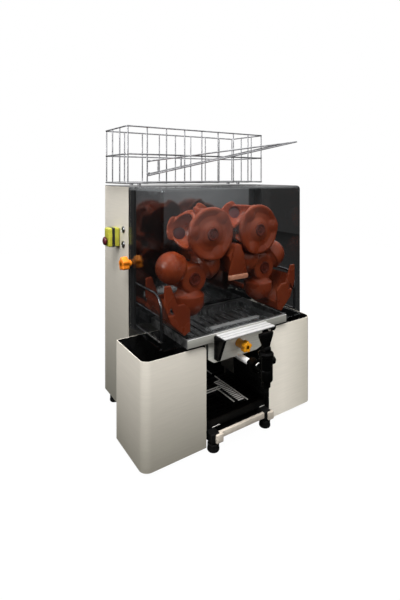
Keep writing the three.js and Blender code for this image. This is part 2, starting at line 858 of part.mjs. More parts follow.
function mainsInlet() {
  const back = cabinetDepth;
  const half = [inletWidth / 2 - seat, inletHeight / 2 - seat];
  return cut(
    block(inletX - half[0], inletX + half[0], back - inletDepth, back, inletZ - half[1],
      inletZ + half[1]),
    block(inletX - half[0] + inletWall, inletX + half[0] - inletWall, back - inletRecess,
      back + overrun, inletZ - half[1] + inletWall, inletZ + half[1] - inletWall),
  );
}

function controlBox() {
  const low = tubeTop + floorSheet + 2 * seat;
  return block(controlBoxX - controlBoxWidth / 2, controlBoxX + controlBoxWidth / 2,
    controlBoxY - controlBoxDepth / 2, controlBoxY + controlBoxDepth / 2 - overrun, low,
    low + controlBoxHeight);
}

for (const [name, side] of sides) add(`${name}_bearing_block`, bearingBlock(side), finish.darkSteel);
add('gear_housing', gearHousing(), finish.steel);
add('drive_motor', motor(), finish.darkSteel);
add('motor_pinion', pinion(), finish.darkSteel);
add('mains_inlet', mainsInlet(), finish.black);
add('control_box', controlBox(), finish.darkSteel);

// Clear cover and its star knobs

function clearCover() {
  const shell = (inset, bottom, back) => {
    const x = cabinetHalfWidth - inset;
    const y = coverFront + inset;
    const top = cabinetTop - inset;
    const round = coverRound - inset;
    const plan = slab('z', rounded(rectangle(-x, x, y, back), [round, round, 0, 0]), bottom, top);
    const profile = slab('x', rounded(rectangle(y, back, bottom, top), [0, 0, 0, round]), -x, x);
    const front = slab('y', rounded(rectangle(-x, x, bottom, top), [0, 0, round, round]), y, back);
    return plan.intersect(profile).intersect(front);
  };
  const notch = block(-coverNotchHalfWidth, coverNotchHalfWidth, coverFront - overrun,
    coverFront + coverWall + overrun, coverBottom - overrun, coverNotchTop);
  const infeed = slab('z', rounded(rectangle(-infeedHalfWidth, infeedHalfWidth, infeedFront,
    infeedBack), infeedRound), cabinetTop - coverWall - overrun, cabinetTop + overrun);
  const low = lockZ - lockStudRadius - running;
  const high = lockZ + lockStudRadius + running;
  const front = lockY - lockStudRadius - running;
  const back = coverBack + overrun;
  const slots = sides.map(([, side]) => slab('x', [[front, low], [back, low - lockSlotRise],
    [back, high], [front, high]], Math.min(side * insideX - side * coverWall, side * cabinetHalfWidth)
    - overrun, Math.max(side * insideX - side * coverWall, side * cabinetHalfWidth) + overrun));
  return cut(shell(0, coverBottom, coverBack), shell(coverWall, coverBottom - overrun,
    coverBack + overrun), notch, infeed, ...slots);
}

function starOutline(radius, u, v) {
  const count = starLobes * starSteps;
  return Array.from({ length: count }, (_, i) => {
    const angle = 2 * Math.PI * i / count;
    const reach = radius - starDip / 2 + starDip / 2 * Math.cos(starLobes * angle);
    return [u + reach * Math.cos(angle), v + reach * Math.sin(angle)];
  });
}

function coverKnob(side) {
  const span = (a, b) => [Math.min(side * a, side * b), Math.max(side * a, side * b)];
  const face = cabinetHalfWidth + seat;
  const head = face + lockBossLength;
  return join(
    rod('x', lockStudRadius, lockY, lockZ, ...span(cabinetHalfWidth - lockStudReach, head),
      smallSides),
    rod('x', lockBossRadius, lockY, lockZ, ...span(face, head + seat), smallSides),
    slab('x', starOutline(starRadius, lockY, lockZ), ...span(head, head + starLength)),
  );
}

add('clear_cover', clearCover(), finish.clear);
for (const [name, side] of sides) add(`${name}_cover_knob`, coverKnob(side), finish.orange);

// Knife, peel ejectors and peel guards

function knifeHolder() {
  const half = [[-1, wedgeLow], [1, wedgeLow]].map(([s, z]) => [s * spineLowHalf, z]);
  const spine = slab('y', [...half, [spineShoulderHalf, spineShoulderZ],
    [spineMiddleHalf, spineMiddleZ], [spineNeckHalf, spineNeckZ], [spineHighHalf, wedgeHigh],
    [-spineHighHalf, wedgeHigh], [-spineNeckHalf, spineNeckZ], [-spineMiddleHalf, spineMiddleZ],
    [-spineShoulderHalf, spineShoulderZ]], wedgeBack - seat, -seat);
  const wedge = slab('y', [[-wedgeLowHalf, wedgeLow], [wedgeLowHalf, wedgeLow],
    [wedgeHighHalf, wedgeHigh], [-wedgeHighHalf, wedgeHigh]], wedgeFront, wedgeBack);
  const lip = block(-wedgeLowHalf, wedgeLowHalf, wedgeLipFront, wedgeBack,
    wedgeLow - wedgeLipHeight, wedgeLow + seat);
  const slot = block(-bladeSlotHalfWidth, bladeSlotHalfWidth, bladeFront - seat, bladeBack + seat,
    bladeBottom - seat, bladeTop);
  return cut(join(spine, wedge, lip), slot);
}

function ejector(side) {
  const [sx, sz] = [side * lowerShaftX, lowerShaftZ];
  const outer = ejectorOuterX;
  const inner = ejectorInnerX;
  const band = ejectorBandWidth;
  const outline = rounded([
    [outer, ejectorTopZ], [outer, ejectorPlateTopZ], [outer - band, ejectorTipZ + 2 * band],
    [inner + band, ejectorTipZ], [inner, ejectorTipZ + band / 2], [inner, ejectorPlateTopZ - band],
    [inner + band, ejectorPlateTopZ], [outer - 2 * band, ejectorPlateTopZ],
    [outer - band, ejectorTopZ]].map(([x, z]) => [side * x, z]), band / 4);
  const body = slab('y', outline, ejectorFront, ejectorBack);
  const sweep = rod('y', stationRadius + ballRadius + ejectorBallGap, sx, sz,
    ejectorFront + ejectorCheek, ejectorBack - ejectorCheek, drumSides);
  const hole = slab('y', [[0, ejectorHoleSize], [-ejectorHoleSize, -ejectorHoleSize],
    [ejectorHoleSize, -ejectorHoleSize]].map(([u, v]) => [side * ejectorHoleX + u,
    ejectorHoleZ + v]), ejectorFront - overrun, ejectorFront + ejectorCheek + seat);
  const boss = rod('y', ejectorBossRadius, side * ejectorBossX, ejectorBossZ,
    ejectorBack - ejectorCheek / 2, -seat, smallSides);
  return join(cut(body, sweep, hole), boss);
}

function peelGuard(side) {
  const x = side * guardX;
  const back = -frameWidth - seat;
  const corner = [];
  for (let i = 0; i <= cornerSteps; i += 1) {
    const angle = Math.PI / 2 * i / cornerSteps;
    corner.push([x, guardFront + guardRound - guardRound * Math.sin(angle),
      guardTop - guardRound + guardRound * Math.cos(angle)]);
  }
  const route = [[x, back, guardTop], ...corner, [x, guardFront, guardBottom],
    [x, back, guardBottom]];
  const stretches = route.slice(1).map((point, i) => wire(route[i], point, guardRodRadius, guardSides));
  const knuckles = route.slice(1, -1).map((point) => solidOf(
    new THREE.SphereGeometry(guardRodRadius, guardSides, guardSides).translate(...point)));
  const bar = wire([x, guardFront, guardMiddle], [x, back, guardMiddle], guardRodRadius, guardSides);
  return join(...stretches, ...knuckles, bar);
}

add('knife_holder', knifeHolder(), finish.terracotta);
add('knife_blade', block(-bladeHalfThickness, bladeHalfThickness, bladeFront, bladeBack,
  bladeBottom, bladeTop), finish.chrome);
for (const [name, side] of sides) {
  add(`${name}_ejector`, ejector(side), finish.terracotta);
  add(`${name}_peel_guard`, peelGuard(side), finish.chrome);
}

// Juice tank, strainer, outlet pipe and tap

const wellSlope = (wellFrontTop - wellFrontBottom) / (trayFloor - wellBottom);
const wellFrontAt = (z) => wellFrontBottom + wellSlope * (z - wellBottom);

function juiceTank() {
  const wall = tankSheet;
  const halfBar = tankBarHalfWidth;
  const tray = cut(
    block(-halfBar, halfBar, tankBarFront, trayBack, trayFloor, tankTop),
    block(-halfBar + wall, halfBar - wall, tankBarFront + tankBarDepth, trayBack - wall,
      trayFloor + wall, tankTop + overrun),
  );
  const well = (inset, top) => slab('x', [[wellFrontTop + inset, top], [wellFrontTop + inset,
    trayFloor], [wellFrontBottom + inset, wellBottom + inset], [wellBack - inset,
    wellBottom + inset], [wellBack - inset, top]], -wellHalfWidth + inset, wellHalfWidth - inset);
  const outlet = rod('y', pipeRadius + seat, 0, pipeZ, tankBarFront, pipeBack + wall, smallSides);
  return cut(join(tray, well(0, trayFloor + wall)), well(wall, tankTop + overrun), outlet);
}

function strainer() {
  const low = trayFloor + tankSheet + seat;
  const half = strainerHalfWidth;
  const wall = strainerSheet;
  const pan = cut(
    block(-half, half, strainerFront, strainerBack, low, strainerTop),
    block(-half + wall, half - wall, strainerFront + wall, strainerBack - wall, low + wall,
      strainerTop + overrun),
  );
  const slots = Array.from({ length: strainerSlotCount }, (_, i) => {
    const x = (i - (strainerSlotCount - 1) / 2) * strainerSlotPitch;
    return block(x - strainerSlotWidth / 2, x + strainerSlotWidth / 2,
      strainerFront + strainerSlotMargin, strainerBack - strainerSlotMargin, low - overrun,
      low + wall + seat);
  });
  return cut(pan, ...slots);
}

function outletPipe() {
  return cut(rod('y', pipeRadius, 0, pipeZ, pipeFront, pipeBack, smallSides),
    rod('y', pipeRadius - pipeWall, 0, pipeZ, pipeFront - overrun, pipeBack + overrun, smallSides));
}

function tapBody() {
  const nutFront = pipeFront - seat - tapNutLength;
  const barrel = join(
    rod('z', tapRadius, 0, tapY, tapBottom, tapTop),
    rod('z', tapRadius + tapShoulder / 2, 0, tapY, tapTop - 2 * tapShoulder, tapTop - tapShoulder),
    rod('z', spoutRadius, 0, tapY, spoutBottom, tapBottom + seat),
    rod('y', tapNutRadius, 0, pipeZ, nutFront, pipeFront - seat, nutSides),
    rod('y', tapShankRadius, 0, pipeZ, tapY, nutFront + seat, smallSides),
    rod('x', tapBonnetRadius, tapY, tapBonnetZ, 0, tapRadius + tapBonnetReach, smallSides),
  );
  const bore = rod('y', pipeRadius - pipeWall, 0, pipeZ, tapY, pipeFront + overrun, smallSides);
  const drain = rod('z', spoutRadius - spoutWall, 0, tapY, spoutBottom - overrun, pipeZ, smallSides);
  const cradle = rod('x', leverBarrelRadius + leverCradleGap, tapY, leverPivotZ,
    -leverBarrelHalf - leverCradleGap, leverBarrelHalf + leverCradleGap, roundSides);
  return cut(barrel, bore, drain, cradle);
}

function tapLever() {
  const fan = slab('y', [[-leverNeckHalf, leverPivotZ], [leverNeckHalf, leverPivotZ],
    [leverNeckHalf, leverNeckTop - leverFanHeight / 2], [leverFanHalf, leverTop - leverFanHeight],
    [leverFanHalf, leverTop], [-leverFanHalf, leverTop], [-leverFanHalf, leverTop - leverFanHeight],
    [-leverNeckHalf, leverNeckTop - leverFanHeight / 2]],
  tapY - leverThickness / 2, tapY + leverThickness / 2);
  return fan.add(rod('x', leverBarrelRadius, tapY, leverPivotZ, -leverBarrelHalf, leverBarrelHalf,
    smallSides));
}

const ledgeBack = tankBarFront - seat;

function ledge() {
  const low = ledgeTop - ledgeThickness;
  const depth = ledgeBack - ledgeFront;
  const pitch = depth / ledgeRibCount;
  const plate = block(-ledgeHalfWidth, ledgeHalfWidth, ledgeFront, ledgeBack, low,
    ledgeTop - ledgeRibHeight);
  const ribs = Array.from({ length: ledgeRibCount }, (_, i) => {
    const y = ledgeFront + (i + (1 - ledgeRibShare) / 2) * pitch;
    return block(-ledgeHalfWidth, ledgeHalfWidth, y, y + ledgeRibShare * pitch,
      low, ledgeTop);
  });
  return join(plate, ...ribs);
}

function ledgeBracket() {
  const top = ledgeTop - ledgeThickness - seat;
  const legs = sides.map(([, side]) => slab('x', [[ledgeFront, top], [ledgeBack, top],
    [ledgeBack, bracketBottom], [ledgeBack - bracketFoot, bracketBottom]],
  side * ledgeHalfWidth - bracketThickness / 2, side * ledgeHalfWidth + bracketThickness / 2));
  const strip = block(-ledgeHalfWidth, ledgeHalfWidth, ledgeBack - bracketFoot, ledgeBack,
    top - bracketSheet, top);
  return join(...legs, strip);
}

function tankKnob() {
  const wallY = wellFrontAt(tankKnobZ) - seat;
  const boss = rod('y', tankKnobBossRadius, 0, tankKnobZ, tankKnobHeadY - seat,
    wellFrontAt(tankKnobZ + tankKnobBossRadius) - tankKnobGap, smallSides);
  const screw = rod('y', lockStudRadius, 0, tankKnobZ, tankKnobHeadY, wallY + wellSlope
    * lockStudRadius, smallSides);
  return join(boss, screw, slab('y', starOutline(tankKnobRadius, 0, tankKnobZ),
    tankKnobHeadY - tankKnobLength, tankKnobHeadY));
}

add('juice_tank', juiceTank(), finish.steel);
add('strainer', strainer(), finish.steel);
add('outlet_pipe', outletPipe(), finish.chrome);
add('tap_body', tapBody(), finish.black);
add('tap_lever', tapLever(), finish.black);
add('ledge', ledge(), finish.white);
add('ledge_bracket', ledgeBracket(), finish.black);
add('tank_knob', tankKnob(), finish.orange);

// Peel bins on their shelves

function peelBin(side) {
  const box = (inset, bottom, top) => slab('z', rounded([[side * (binInnerX + inset), binFront + inset],
    [side * (binOuterX - inset), binFront + inset], [side * (binOuterX - inset), binBack - inset],
    [side * (binInnerX + inset), binBack - inset]], [0, binRound - inset, 0, 0]), bottom, top);
  const hollow = cut(box(0, binBottom, binTop), box(binSheet, binBottom + binSheet,
    binTop + overrun));
  const corner = cut(
    block(side * (binInnerX - overrun), side * (binInnerX + binTopRound), binFront - overrun,
      binFront + binSheet + seat, binTop - binTopRound, binTop + overrun),
    rod('y', binTopRound, side * (binInnerX + binTopRound), binTop - binTopRound,
      binFront - 2 * overrun, binFront + 2 * overrun),
  );
  return cut(hollow, corner);
}

function binShelf(side) {
  const inner = tubeX + tubeSize / 2 + seat;
  const top = binBottom - seat;
  const low = top - shelfSheet;
  return join(
    block(side * inner, side * shelfOuterX, shelfFront, shelfBack, low, top),
    block(side * inner, side * (inner + shelfSheet), shelfFront, shelfBack, low, tubeTop - running),
  );
}

for (const [name, side] of sides) {
  add(`${name}_peel_bin`, peelBin(side), finish.champagne);
  add(`${name}_bin_shelf`, binShelf(side), finish.darkSteel);
}

// Basket and feed guide

// A straight wire along an axis, given by its ends and half its thickness.
function straight(from, to, half) {
  const low = from.map((value, i) => Math.min(value, to[i]) - half);
  const high = from.map((value, i) => Math.max(value, to[i]) + half);
  return block(low[0], high[0], low[1], high[1], low[2], high[2]);
}

function basket() {
  const [x, front, back] = [basketHalfWidth, basketFront, basketBack];
  const corners = [[-x, front], [x, front], [x, back], [-x, back]];
  const rings = [basketRim, basketMiddle, basketBase].flatMap((z) => corners.map((corner, i) => (
    straight([...corner, z], [...corners[(i + 1) % corners.length], z], wireRadius))));
  const upright = wireRadius - basketWireStep;
  const spread = (i, count, from, to) => from + i * (to - from) / count;
  const wires = [];
  for (let i = 0; i <= basketBaysX; i += 1) {
    const at = spread(i, basketBaysX, -x, x);
    for (const y of [front, back]) {
      wires.push(straight([at, y, basketBase], [at, y, basketRim - wireRadius], upright));
    }
    wires.push(straight([at, front, basketBase], [at, back, basketBase], upright));
  }
  for (let i = 1; i < basketBaysY; i += 1) {
    const at = spread(i, basketBaysY, front, back);
    for (const edge of [-x, x]) {
      wires.push(straight([edge, at, basketBase], [edge, at, basketRim - wireRadius], upright));
    }
    wires.push(straight([-x, at, basketBase], [x, at, basketBase], upright - basketWireStep));
  }
  const legX = spread(basketBaysX - 1, basketBaysX, -x, x);
  const legs = sides.flatMap(([, side]) => [1, basketBaysY - 1].map((i) => rod('z', basketLeg,
    side * legX, spread(i, basketBaysY, front, back), cabinetTop + seat, basketBase, smallSides)));
  return join(...rings, ...wires, ...legs);
}

function feedGuide() {
  const tip = guideTip;
  const top = [...guideStart, guideTopZ];
  const low = [...guideStart, guideLowZ];
  const along = (from, share) => from.map((value, i) => value + share * (tip[i] - value));
  const knuckles = [top, low, tip].map((point) => solidOf(
    new THREE.SphereGeometry(wireRadius, wireSides, wireSides).translate(...point)));
  const clip = block(guideUprightX - clipWidth, guideUprightX + clipWidth, guideStart[1] - clipOverlap,
    basketFront - wireRadius - seat, guideLowZ - wireRadius, guideTopZ + wireRadius);
  return join(wire(top, tip), wire(low, tip), wire(top, low),
    wire(along(top, guideRungShare), along(low, guideRungShare)), ...knuckles, clip);
}

add('basket', basket(), finish.chrome);
add('feed_guide', feedGuide(), finish.chrome);

// Stop box and buttons

function stopBox() {
  const face = -cabinetHalfWidth - seat;
  const outer = face - stopBoxReach;
  const body = slab('x', rounded(rectangle(stopBoxFront, stopBoxBack, stopBoxLow, stopBoxHigh),
    stopBoxRound), outer, face);
  const middle = (stopBoxFront + stopBoxBack) / 2;
  return cut(body, rod('x', stopStemRadius + seat, middle, stopButtonZ, outer - overrun,
    outer + stopStemLength + stopTravel, smallSides));
}

function stopButton() {
  const middle = (stopBoxFront + stopBoxBack) / 2;
  const outer = -cabinetHalfWidth - seat - stopBoxReach;
  const under = outer - stopTravel - seat;
  return join(
    rod('x', stopStemRadius, middle, stopButtonZ, under - seat, outer + stopStemLength
      - stopTravel, smallSides),
    rod('x', stopButtonRadius, middle, stopButtonZ, under - stopButtonHeight, under),
  );
}

function pushButton(z) {
  const face = -cabinetHalfWidth;
  const proud = face - buttonProud;
  return join(rod('x', buttonRadius, buttonY, z, proud, face + buttonDepth, smallSides),
    rod('x', buttonRadius - buttonDome, buttonY, z, proud - buttonDome / 2, proud + seat,
      smallSides));
}

add('stop_box', stopBox(), finish.yellow);
add('stop_button', stopButton(), finish.red);
add('start_button', pushButton(buttonHighZ), finish.green);
add('reset_button', pushButton(buttonLowZ), finish.black);

export default machine;
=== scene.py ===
# Automatic orange juicer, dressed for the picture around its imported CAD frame.
# Metres, +X right, +Y back, +Z up. The sections follow the machine as it is put together.

import json
import math

import bmesh
import bpy
from mathutils import Matrix, Vector

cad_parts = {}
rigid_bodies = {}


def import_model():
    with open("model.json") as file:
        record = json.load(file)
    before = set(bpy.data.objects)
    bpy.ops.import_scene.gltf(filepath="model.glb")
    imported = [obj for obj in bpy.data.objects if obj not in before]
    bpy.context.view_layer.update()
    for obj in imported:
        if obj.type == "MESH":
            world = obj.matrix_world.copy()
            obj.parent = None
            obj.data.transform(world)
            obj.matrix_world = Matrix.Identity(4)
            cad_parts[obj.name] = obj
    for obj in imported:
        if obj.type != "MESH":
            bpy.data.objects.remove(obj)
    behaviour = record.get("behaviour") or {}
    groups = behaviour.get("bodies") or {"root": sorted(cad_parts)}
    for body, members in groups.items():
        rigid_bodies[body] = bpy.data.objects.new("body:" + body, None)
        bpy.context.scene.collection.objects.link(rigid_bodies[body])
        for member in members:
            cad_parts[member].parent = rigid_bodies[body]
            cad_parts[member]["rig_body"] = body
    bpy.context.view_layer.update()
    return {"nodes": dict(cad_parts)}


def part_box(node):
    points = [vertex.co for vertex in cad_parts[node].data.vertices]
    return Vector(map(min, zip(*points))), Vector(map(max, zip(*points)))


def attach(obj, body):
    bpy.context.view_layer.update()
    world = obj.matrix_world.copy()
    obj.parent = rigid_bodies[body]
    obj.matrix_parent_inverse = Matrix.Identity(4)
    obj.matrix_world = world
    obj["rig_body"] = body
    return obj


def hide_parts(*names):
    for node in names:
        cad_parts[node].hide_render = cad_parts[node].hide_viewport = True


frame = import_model()

# Studio.
# A wide camera stands left of the machine, level, just above the cover's top, and is shifted down.
# Floor and backdrop are white to the camera, but the floor's glow dips a little near the machine:
# a faint painted shade. The machine itself sees a dim room with a window in front and a pale wall
# behind. Of its four soft lamps, only the left one shows in the gloss.

camera = bpy.data.objects.new("camera", bpy.data.cameras.new("camera"))
camera.location = (-0.6016, -0.8453, 0.6175)
camera.rotation_euler = (math.radians(90), 0, math.radians(-33.68))
camera.data.sensor_width = 36
camera.data.lens = 23.94
camera.data.shift_y = -0.207
camera.data.clip_start = 0.01
bpy.context.scene.collection.objects.link(camera)
bpy.context.scene.camera = camera


def soft_light(name, place, target, width, power):
    lamp = bpy.data.objects.new(name, bpy.data.lights.new(name, "AREA"))
    lamp.data.shape = "SQUARE"
    lamp.data.size = width
    lamp.data.energy = power
    lamp.location = place
    aim = Vector(target) - Vector(place)
    lamp.rotation_euler = aim.to_track_quat("-Z", "Y").to_euler()
    lamp.visible_glossy = name == "left_light"
    bpy.context.scene.collection.objects.link(lamp)


soft_light("ceiling_light", (-0.5, -0.7, 2.4), (0, 0, 0.4), 1.5, 112)
soft_light("left_light", (-2.2, -0.1, 1.3), (0, 0, 0.4), 1.2, 26)
soft_light("front_light", (0.9, -2.2, 1.0), (0.1, 0, 0.3), 1.0, 12)
soft_light("back_light", (1.5, 2.1, 1.5), (0, 0, 0.3), 1.2, 50)


def feed(tree, node, inputs):
    """Sets a shader node's inputs to values, or links them to other nodes' outputs."""
    for name, value in inputs.items():
        if isinstance(value, bpy.types.NodeSocket):
            tree.links.new(value, node.inputs[name])
        else:
            node.inputs[name].default_value = value


def add_node(tree, kind, inputs, **settings):
    """Adds a shader node, feeds its inputs and gives back its outputs."""
    node = tree.nodes.new(f"ShaderNode{kind}")
    for name, value in settings.items():
        setattr(node, name, value)
    feed(tree, node, inputs)
    return node.outputs


def combine(tree, operation, first, second):
    return add_node(tree, "Math", {0: first, 1: second}, operation=operation)[0]


def ramp(tree, source, low, high, start, end):
    """A value that goes from start to end while its source goes from low to high."""
    return add_node(tree, "MapRange", {"Value": source, "From Min": low, "From Max": high,
                                       "To Min": start, "To Max": end})["Result"]


def own_place(tree):
    return add_node(tree, "TexCoord", {})["Object"]


def seen_bare(tree):
    """1 where the camera looks straight at something, 0 in reflections and behind the cover."""
    ray = tree.nodes.new("ShaderNodeLightPath").outputs
    return combine(tree, "MULTIPLY", ray["Is Camera Ray"],
                   combine(tree, "LESS_THAN", ray["Transparent Depth"], 0.5))


surroundings = bpy.data.worlds.new("surroundings")
surroundings.use_nodes = True
sky = surroundings.node_tree
heading = add_node(sky, "SeparateXYZ", {"Vector": own_place(sky)})
window = combine(sky, "MULTIPLY", ramp(sky, heading["Z"], -0.115, -0.075, 0.0, 1.0),
                 ramp(sky, heading["Y"], -0.68, -0.8, 0.0, 0.36))
far_wall = combine(sky, "MULTIPLY", ramp(sky, heading["Z"], 0.0, 0.03, 0.0, 1.0),
                   ramp(sky, heading["Y"], 0.3, 0.6, 0.0, 0.5))
room = combine(sky, "ADD", combine(sky, "ADD", window, far_wall),
               ramp(sky, heading["Z"], 0.1, 0.9, 0.03, 0.95))
backdrop = add_node(sky, "Mix", {"Factor": seen_bare(sky), "A": room, "B": 1.0})
feed(sky, sky.nodes["Background"], {"Color": backdrop["Result"]})
bpy.context.scene.world = surroundings
bpy.context.scene.view_settings.view_transform = "Standard"


def loose(shape, name):
    """Turns a shape into an object."""
    mesh = bpy.data.meshes.new(name)
    shape.to_mesh(mesh)
    shape.free()
    thing = bpy.data.objects.new(name, mesh)
    bpy.context.scene.collection.objects.link(thing)
    return thing


floor_shape = bmesh.new()
bmesh.ops.create_grid(floor_shape, x_segments=1, y_segments=1, size=2.6)
floor_paint = bpy.data.materials.new("floor_paint")
floor_paint.use_nodes = True
paint = floor_paint.node_tree
away = add_node(paint, "VectorMath", {0: own_place(paint)}, operation="LENGTH")["Value"]
# Painted shade: the floor's white glow is 0.985 near the machine and rises to 1 farther off.
white = add_node(paint, "Mix", {"Factor": seen_bare(paint), "A": 0.0,
                                "B": ramp(paint, away, 0.5, 1.5, 0.985, 1.0)})
feed(paint, paint.nodes["Principled BSDF"], {
    "Base Color": (0.01, 0.01, 0.01, 1), "Roughness": 0.9, "Specular IOR Level": 0,
    "Emission Color": (1, 1, 1, 1), "Emission Strength": white["Result"]})
floor = loose(floor_shape, "floor")
floor.data.materials.append(floor_paint)

# Cabinet.
# Folded sheet round the gears: sides and back in champagne lacquer, a brushed steel lid, and a
# polished steel front plate that looks nearly black behind the drums.


def colour_ramp(tree, source, first, last, low=0.0, high=1.0):
    """A colour that goes from first to last while its source goes from low to high."""
    node = tree.nodes.new("ShaderNodeValToRGB")
    for stop, place, colour in zip(node.color_ramp.elements, (low, high), (first, last)):
        stop.position = place
        stop.color = (*colour, 1)
    tree.links.new(source, node.inputs["Fac"])
    return node.outputs["Color"]


def finish_of(name, light, dark, grain=60, stretch=(1, 1, 1), roughness=0.4, metal=0.0,
              relief=0.05, spread=0.12, specular=0.5):
    """A procedural finish: colour, gloss and relief vary with one noise on Object coordinates.
    Light and dark are colours, or one number each for a grey."""
    shades = [(tone,) * 3 if isinstance(tone, float) else tone for tone in (dark, light)]
    material = bpy.data.materials.new(name)
    material.use_nodes = True
    tree = material.node_tree
    turn = add_node(tree, "Mapping", {"Vector": own_place(tree), "Scale": stretch})["Vector"]
    noise = add_node(tree, "TexNoise", {"Vector": turn, "Scale": grain, "Detail": 4})["Fac"]
    bump = add_node(tree, "Bump", {"Height": noise, "Strength": relief, "Distance": 0.001})
    feed(tree, tree.nodes["Principled BSDF"], {
        "Base Color": colour_ramp(tree, noise, *shades, 0.3, 0.7),
        "Roughness": ramp(tree, noise, 0, 1, max(roughness - spread, 0.02), roughness + spread),
        "Metallic": metal, "Specular IOR Level": specular, "Normal": bump["Normal"]})
    return material


def painted_shade_along(material, axis, low_tone, low, high):
    """Paints shade into a finish: its colour is multiplied by a tone
    that rises to white from one place to another.
    """
    tree = material.node_tree
    shader = tree.nodes["Principled BSDF"]
    place = add_node(tree, "SeparateXYZ", {"Vector": own_place(tree)})[axis]
    shade = colour_ramp(tree, ramp(tree, place, low, high, 0, 1), low_tone, (1, 1, 1))
    tones = shader.inputs["Base Color"].links[0].from_socket
    mix = add_node(tree, "Mix", {"Factor": 1, "A": tones, "B": shade}, data_type="RGBA",
                   blend_type="MULTIPLY")
    feed(tree, shader, {"Base Color": mix["Result"]})
    return material


def dress(material, *names):
    """Gives CAD nodes that keep their own shape a better material."""
    for name in names:
        for slot in frame["nodes"][name].material_slots:
            slot.material = material


def champagne(name, tone, axis, low_tone, low, high):
    """The lacquer with faint level brush lines. Tone scales its colour for each piece, and it
    darkens
    towards one side: painted light and shade.
    """
    light, dark = (Vector(shade) * tone for shade in ((0.77, 0.72, 0.63), (0.72, 0.675, 0.59)))
    return painted_shade_along(finish_of(name, light, dark, grain=18, stretch=(1, 1, 14), roughness=0.38,
                                 metal=0.12, relief=0.02, spread=0.05), axis, low_tone, low, high)


# Painted shade: the cabinet's lacquer darkens towards the floor.
lacquer = champagne("champagne_lacquer", 0.9, "Z", (0.33, 0.335, 0.32), 0.0, 0.52)
lid_steel = finish_of(
    "brushed_lid", (0.62, 0.62, 0.61), (0.48, 0.48, 0.47), grain=30, stretch=(1, 30, 30),
    roughness=0.32, metal=1, relief=0.06)
dark_plate = finish_of(
    "polished_front_plate", (0.46, 0.47, 0.48), (0.3, 0.31, 0.32), grain=7, stretch=(1, 1, 2),
    roughness=0.12, metal=1, relief=0.02, spread=0.05)
inner_steel = finish_of(
    "inner_steel", 0.3, 0.2, grain=24, stretch=(20, 1, 1), roughness=0.45, metal=0.9)
dress(lacquer, "left_side_panel", "right_side_panel", "rear_cover")
dress(lid_steel, "top_panel")
dress(dark_plate, "front_plate")
dress(inner_steel, "base_plate")

# Base frame and feet.
# Two square steel tubes run from front to back under the cabinet. A beige bar across the bay ends
# in blocks on their fronts. Rubber feet are screwed under them and under the cabinet's corners.


def welded(shape, name):
    """Turns a shape into an object, without doubled corners and with its faces turned outwards."""
    bmesh.ops.remove_doubles(shape, verts=shape.verts, dist=1e-6)
    bmesh.ops.recalc_face_normals(shape, faces=shape.faces)
    return loose(shape, name)


def new_piece(shape, name, material, *nodes, node=None, crease=35):
    """Turns a shape into a piece that stands for CAD nodes, or is added to one."""
    piece = welded(shape, name)
    piece.data.materials.append(material)
    piece.data.shade_smooth()
    piece.data.set_sharp_from_angle(angle=math.radians(crease))
    carrier = frame["nodes"][nodes[0] if nodes else node]
    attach(piece, carrier["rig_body"])
    if nodes:
        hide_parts(*nodes)
    return piece


def round_off(shape, edges, edge, steps):
    bmesh.ops.bevel(shape, geom=edges, offset=edge, segments=steps, profile=0.5, affect="EDGES",
                    material=-1)


def edges_at(corners):
    return list(dict.fromkeys(line for corner in corners for line in corner.link_edges))


def block(shape, low, high, edge=0.0, steps=3):
    """A box between two corners, with its edges broken."""
    size = Vector(high) - Vector(low)
    middle = (Vector(high) + Vector(low)) / 2
    made = bmesh.ops.create_cube(shape, size=1,
                                 matrix=Matrix.Translation(middle) @ Matrix.Diagonal((*size, 1)))
    if edge:
        round_off(shape, edges_at(made["verts"]), edge, steps)
    return shape


def turned(shape, profile, foot, axis, steps=40):
    """A turned shape: pairs of radius and height above foot, spun once round axis."""
    axis, foot = Vector(axis), Vector(foot)
    side = axis.orthogonal().normalized()
    points = [shape.verts.new(foot + side * radius + axis * height) for radius, height in profile]
    lines = [shape.edges.new(pair) for pair in zip(points, points[1:])]
    bmesh.ops.spin(shape, geom=points + lines, cent=foot, axis=axis, angle=math.tau,
                   steps=steps, use_merge=True)
    return shape


beige_paint = finish_of(
    "beige_paint", (0.52, 0.47, 0.4), (0.42, 0.37, 0.31), grain=50, roughness=0.38, relief=0.06)
tube_black = finish_of("tube_black", 0.005, 0.002, grain=70, roughness=0.5, specular=0.2)
tube_low, tube_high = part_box("base_frame")
tube_size, tube_edge, tube_reach = 0.022, 0.0025, tube_high.x
inner_reach = tube_reach - tube_size
frame_shape = bmesh.new()
for side in (-1, 1):
    west, east = sorted((side * inner_reach, side * tube_reach))
    block(frame_shape, (west, tube_low.y, tube_low.z), (east, tube_high.y, tube_high.z), tube_edge)
new_piece(frame_shape, "black_tubes", tube_black, "base_frame")
block_half, block_shift, block_front, block_foot, block_top = 0.0095, 0.0085, 0.005, 0.0005, 0.0195
bar_front, bar_back, bar_foot, bar_top, bar_past = 0.001, 0.008, 0.0065, 0.02, 0.008
bin_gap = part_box("right_peel_bin")[0].x - 0.0006
bar_shape = bmesh.new()
for side in (-1, 1):
    place = side * (tube_reach - tube_size / 2) + block_shift
    block(bar_shape, (place - block_half, tube_low.y - block_front, tube_low.z + block_foot),
          (min(place + block_half, bin_gap), tube_low.y + bar_back, tube_low.z + block_top), 0.0018)
block(bar_shape, (-inner_reach, tube_low.y + bar_front, tube_low.z + bar_foot),
      (inner_reach + bar_past, tube_low.y + bar_back, tube_low.z + bar_top), 0.001)
new_piece(bar_shape, "beige_front_bar", beige_paint, node="base_frame")
sheet_front, sheet_foot, sheet_thick, sheet_past = 0.006, 0.007, 0.0015, 0.001
new_piece(block(bmesh.new(),
                (-inner_reach - sheet_past, tube_low.y + sheet_front, tube_low.z + sheet_foot),
                (inner_reach + sheet_past, tube_high.y, tube_low.z + sheet_foot + sheet_thick)),
          "black_bottom_sheet", tube_black, node="base_frame")

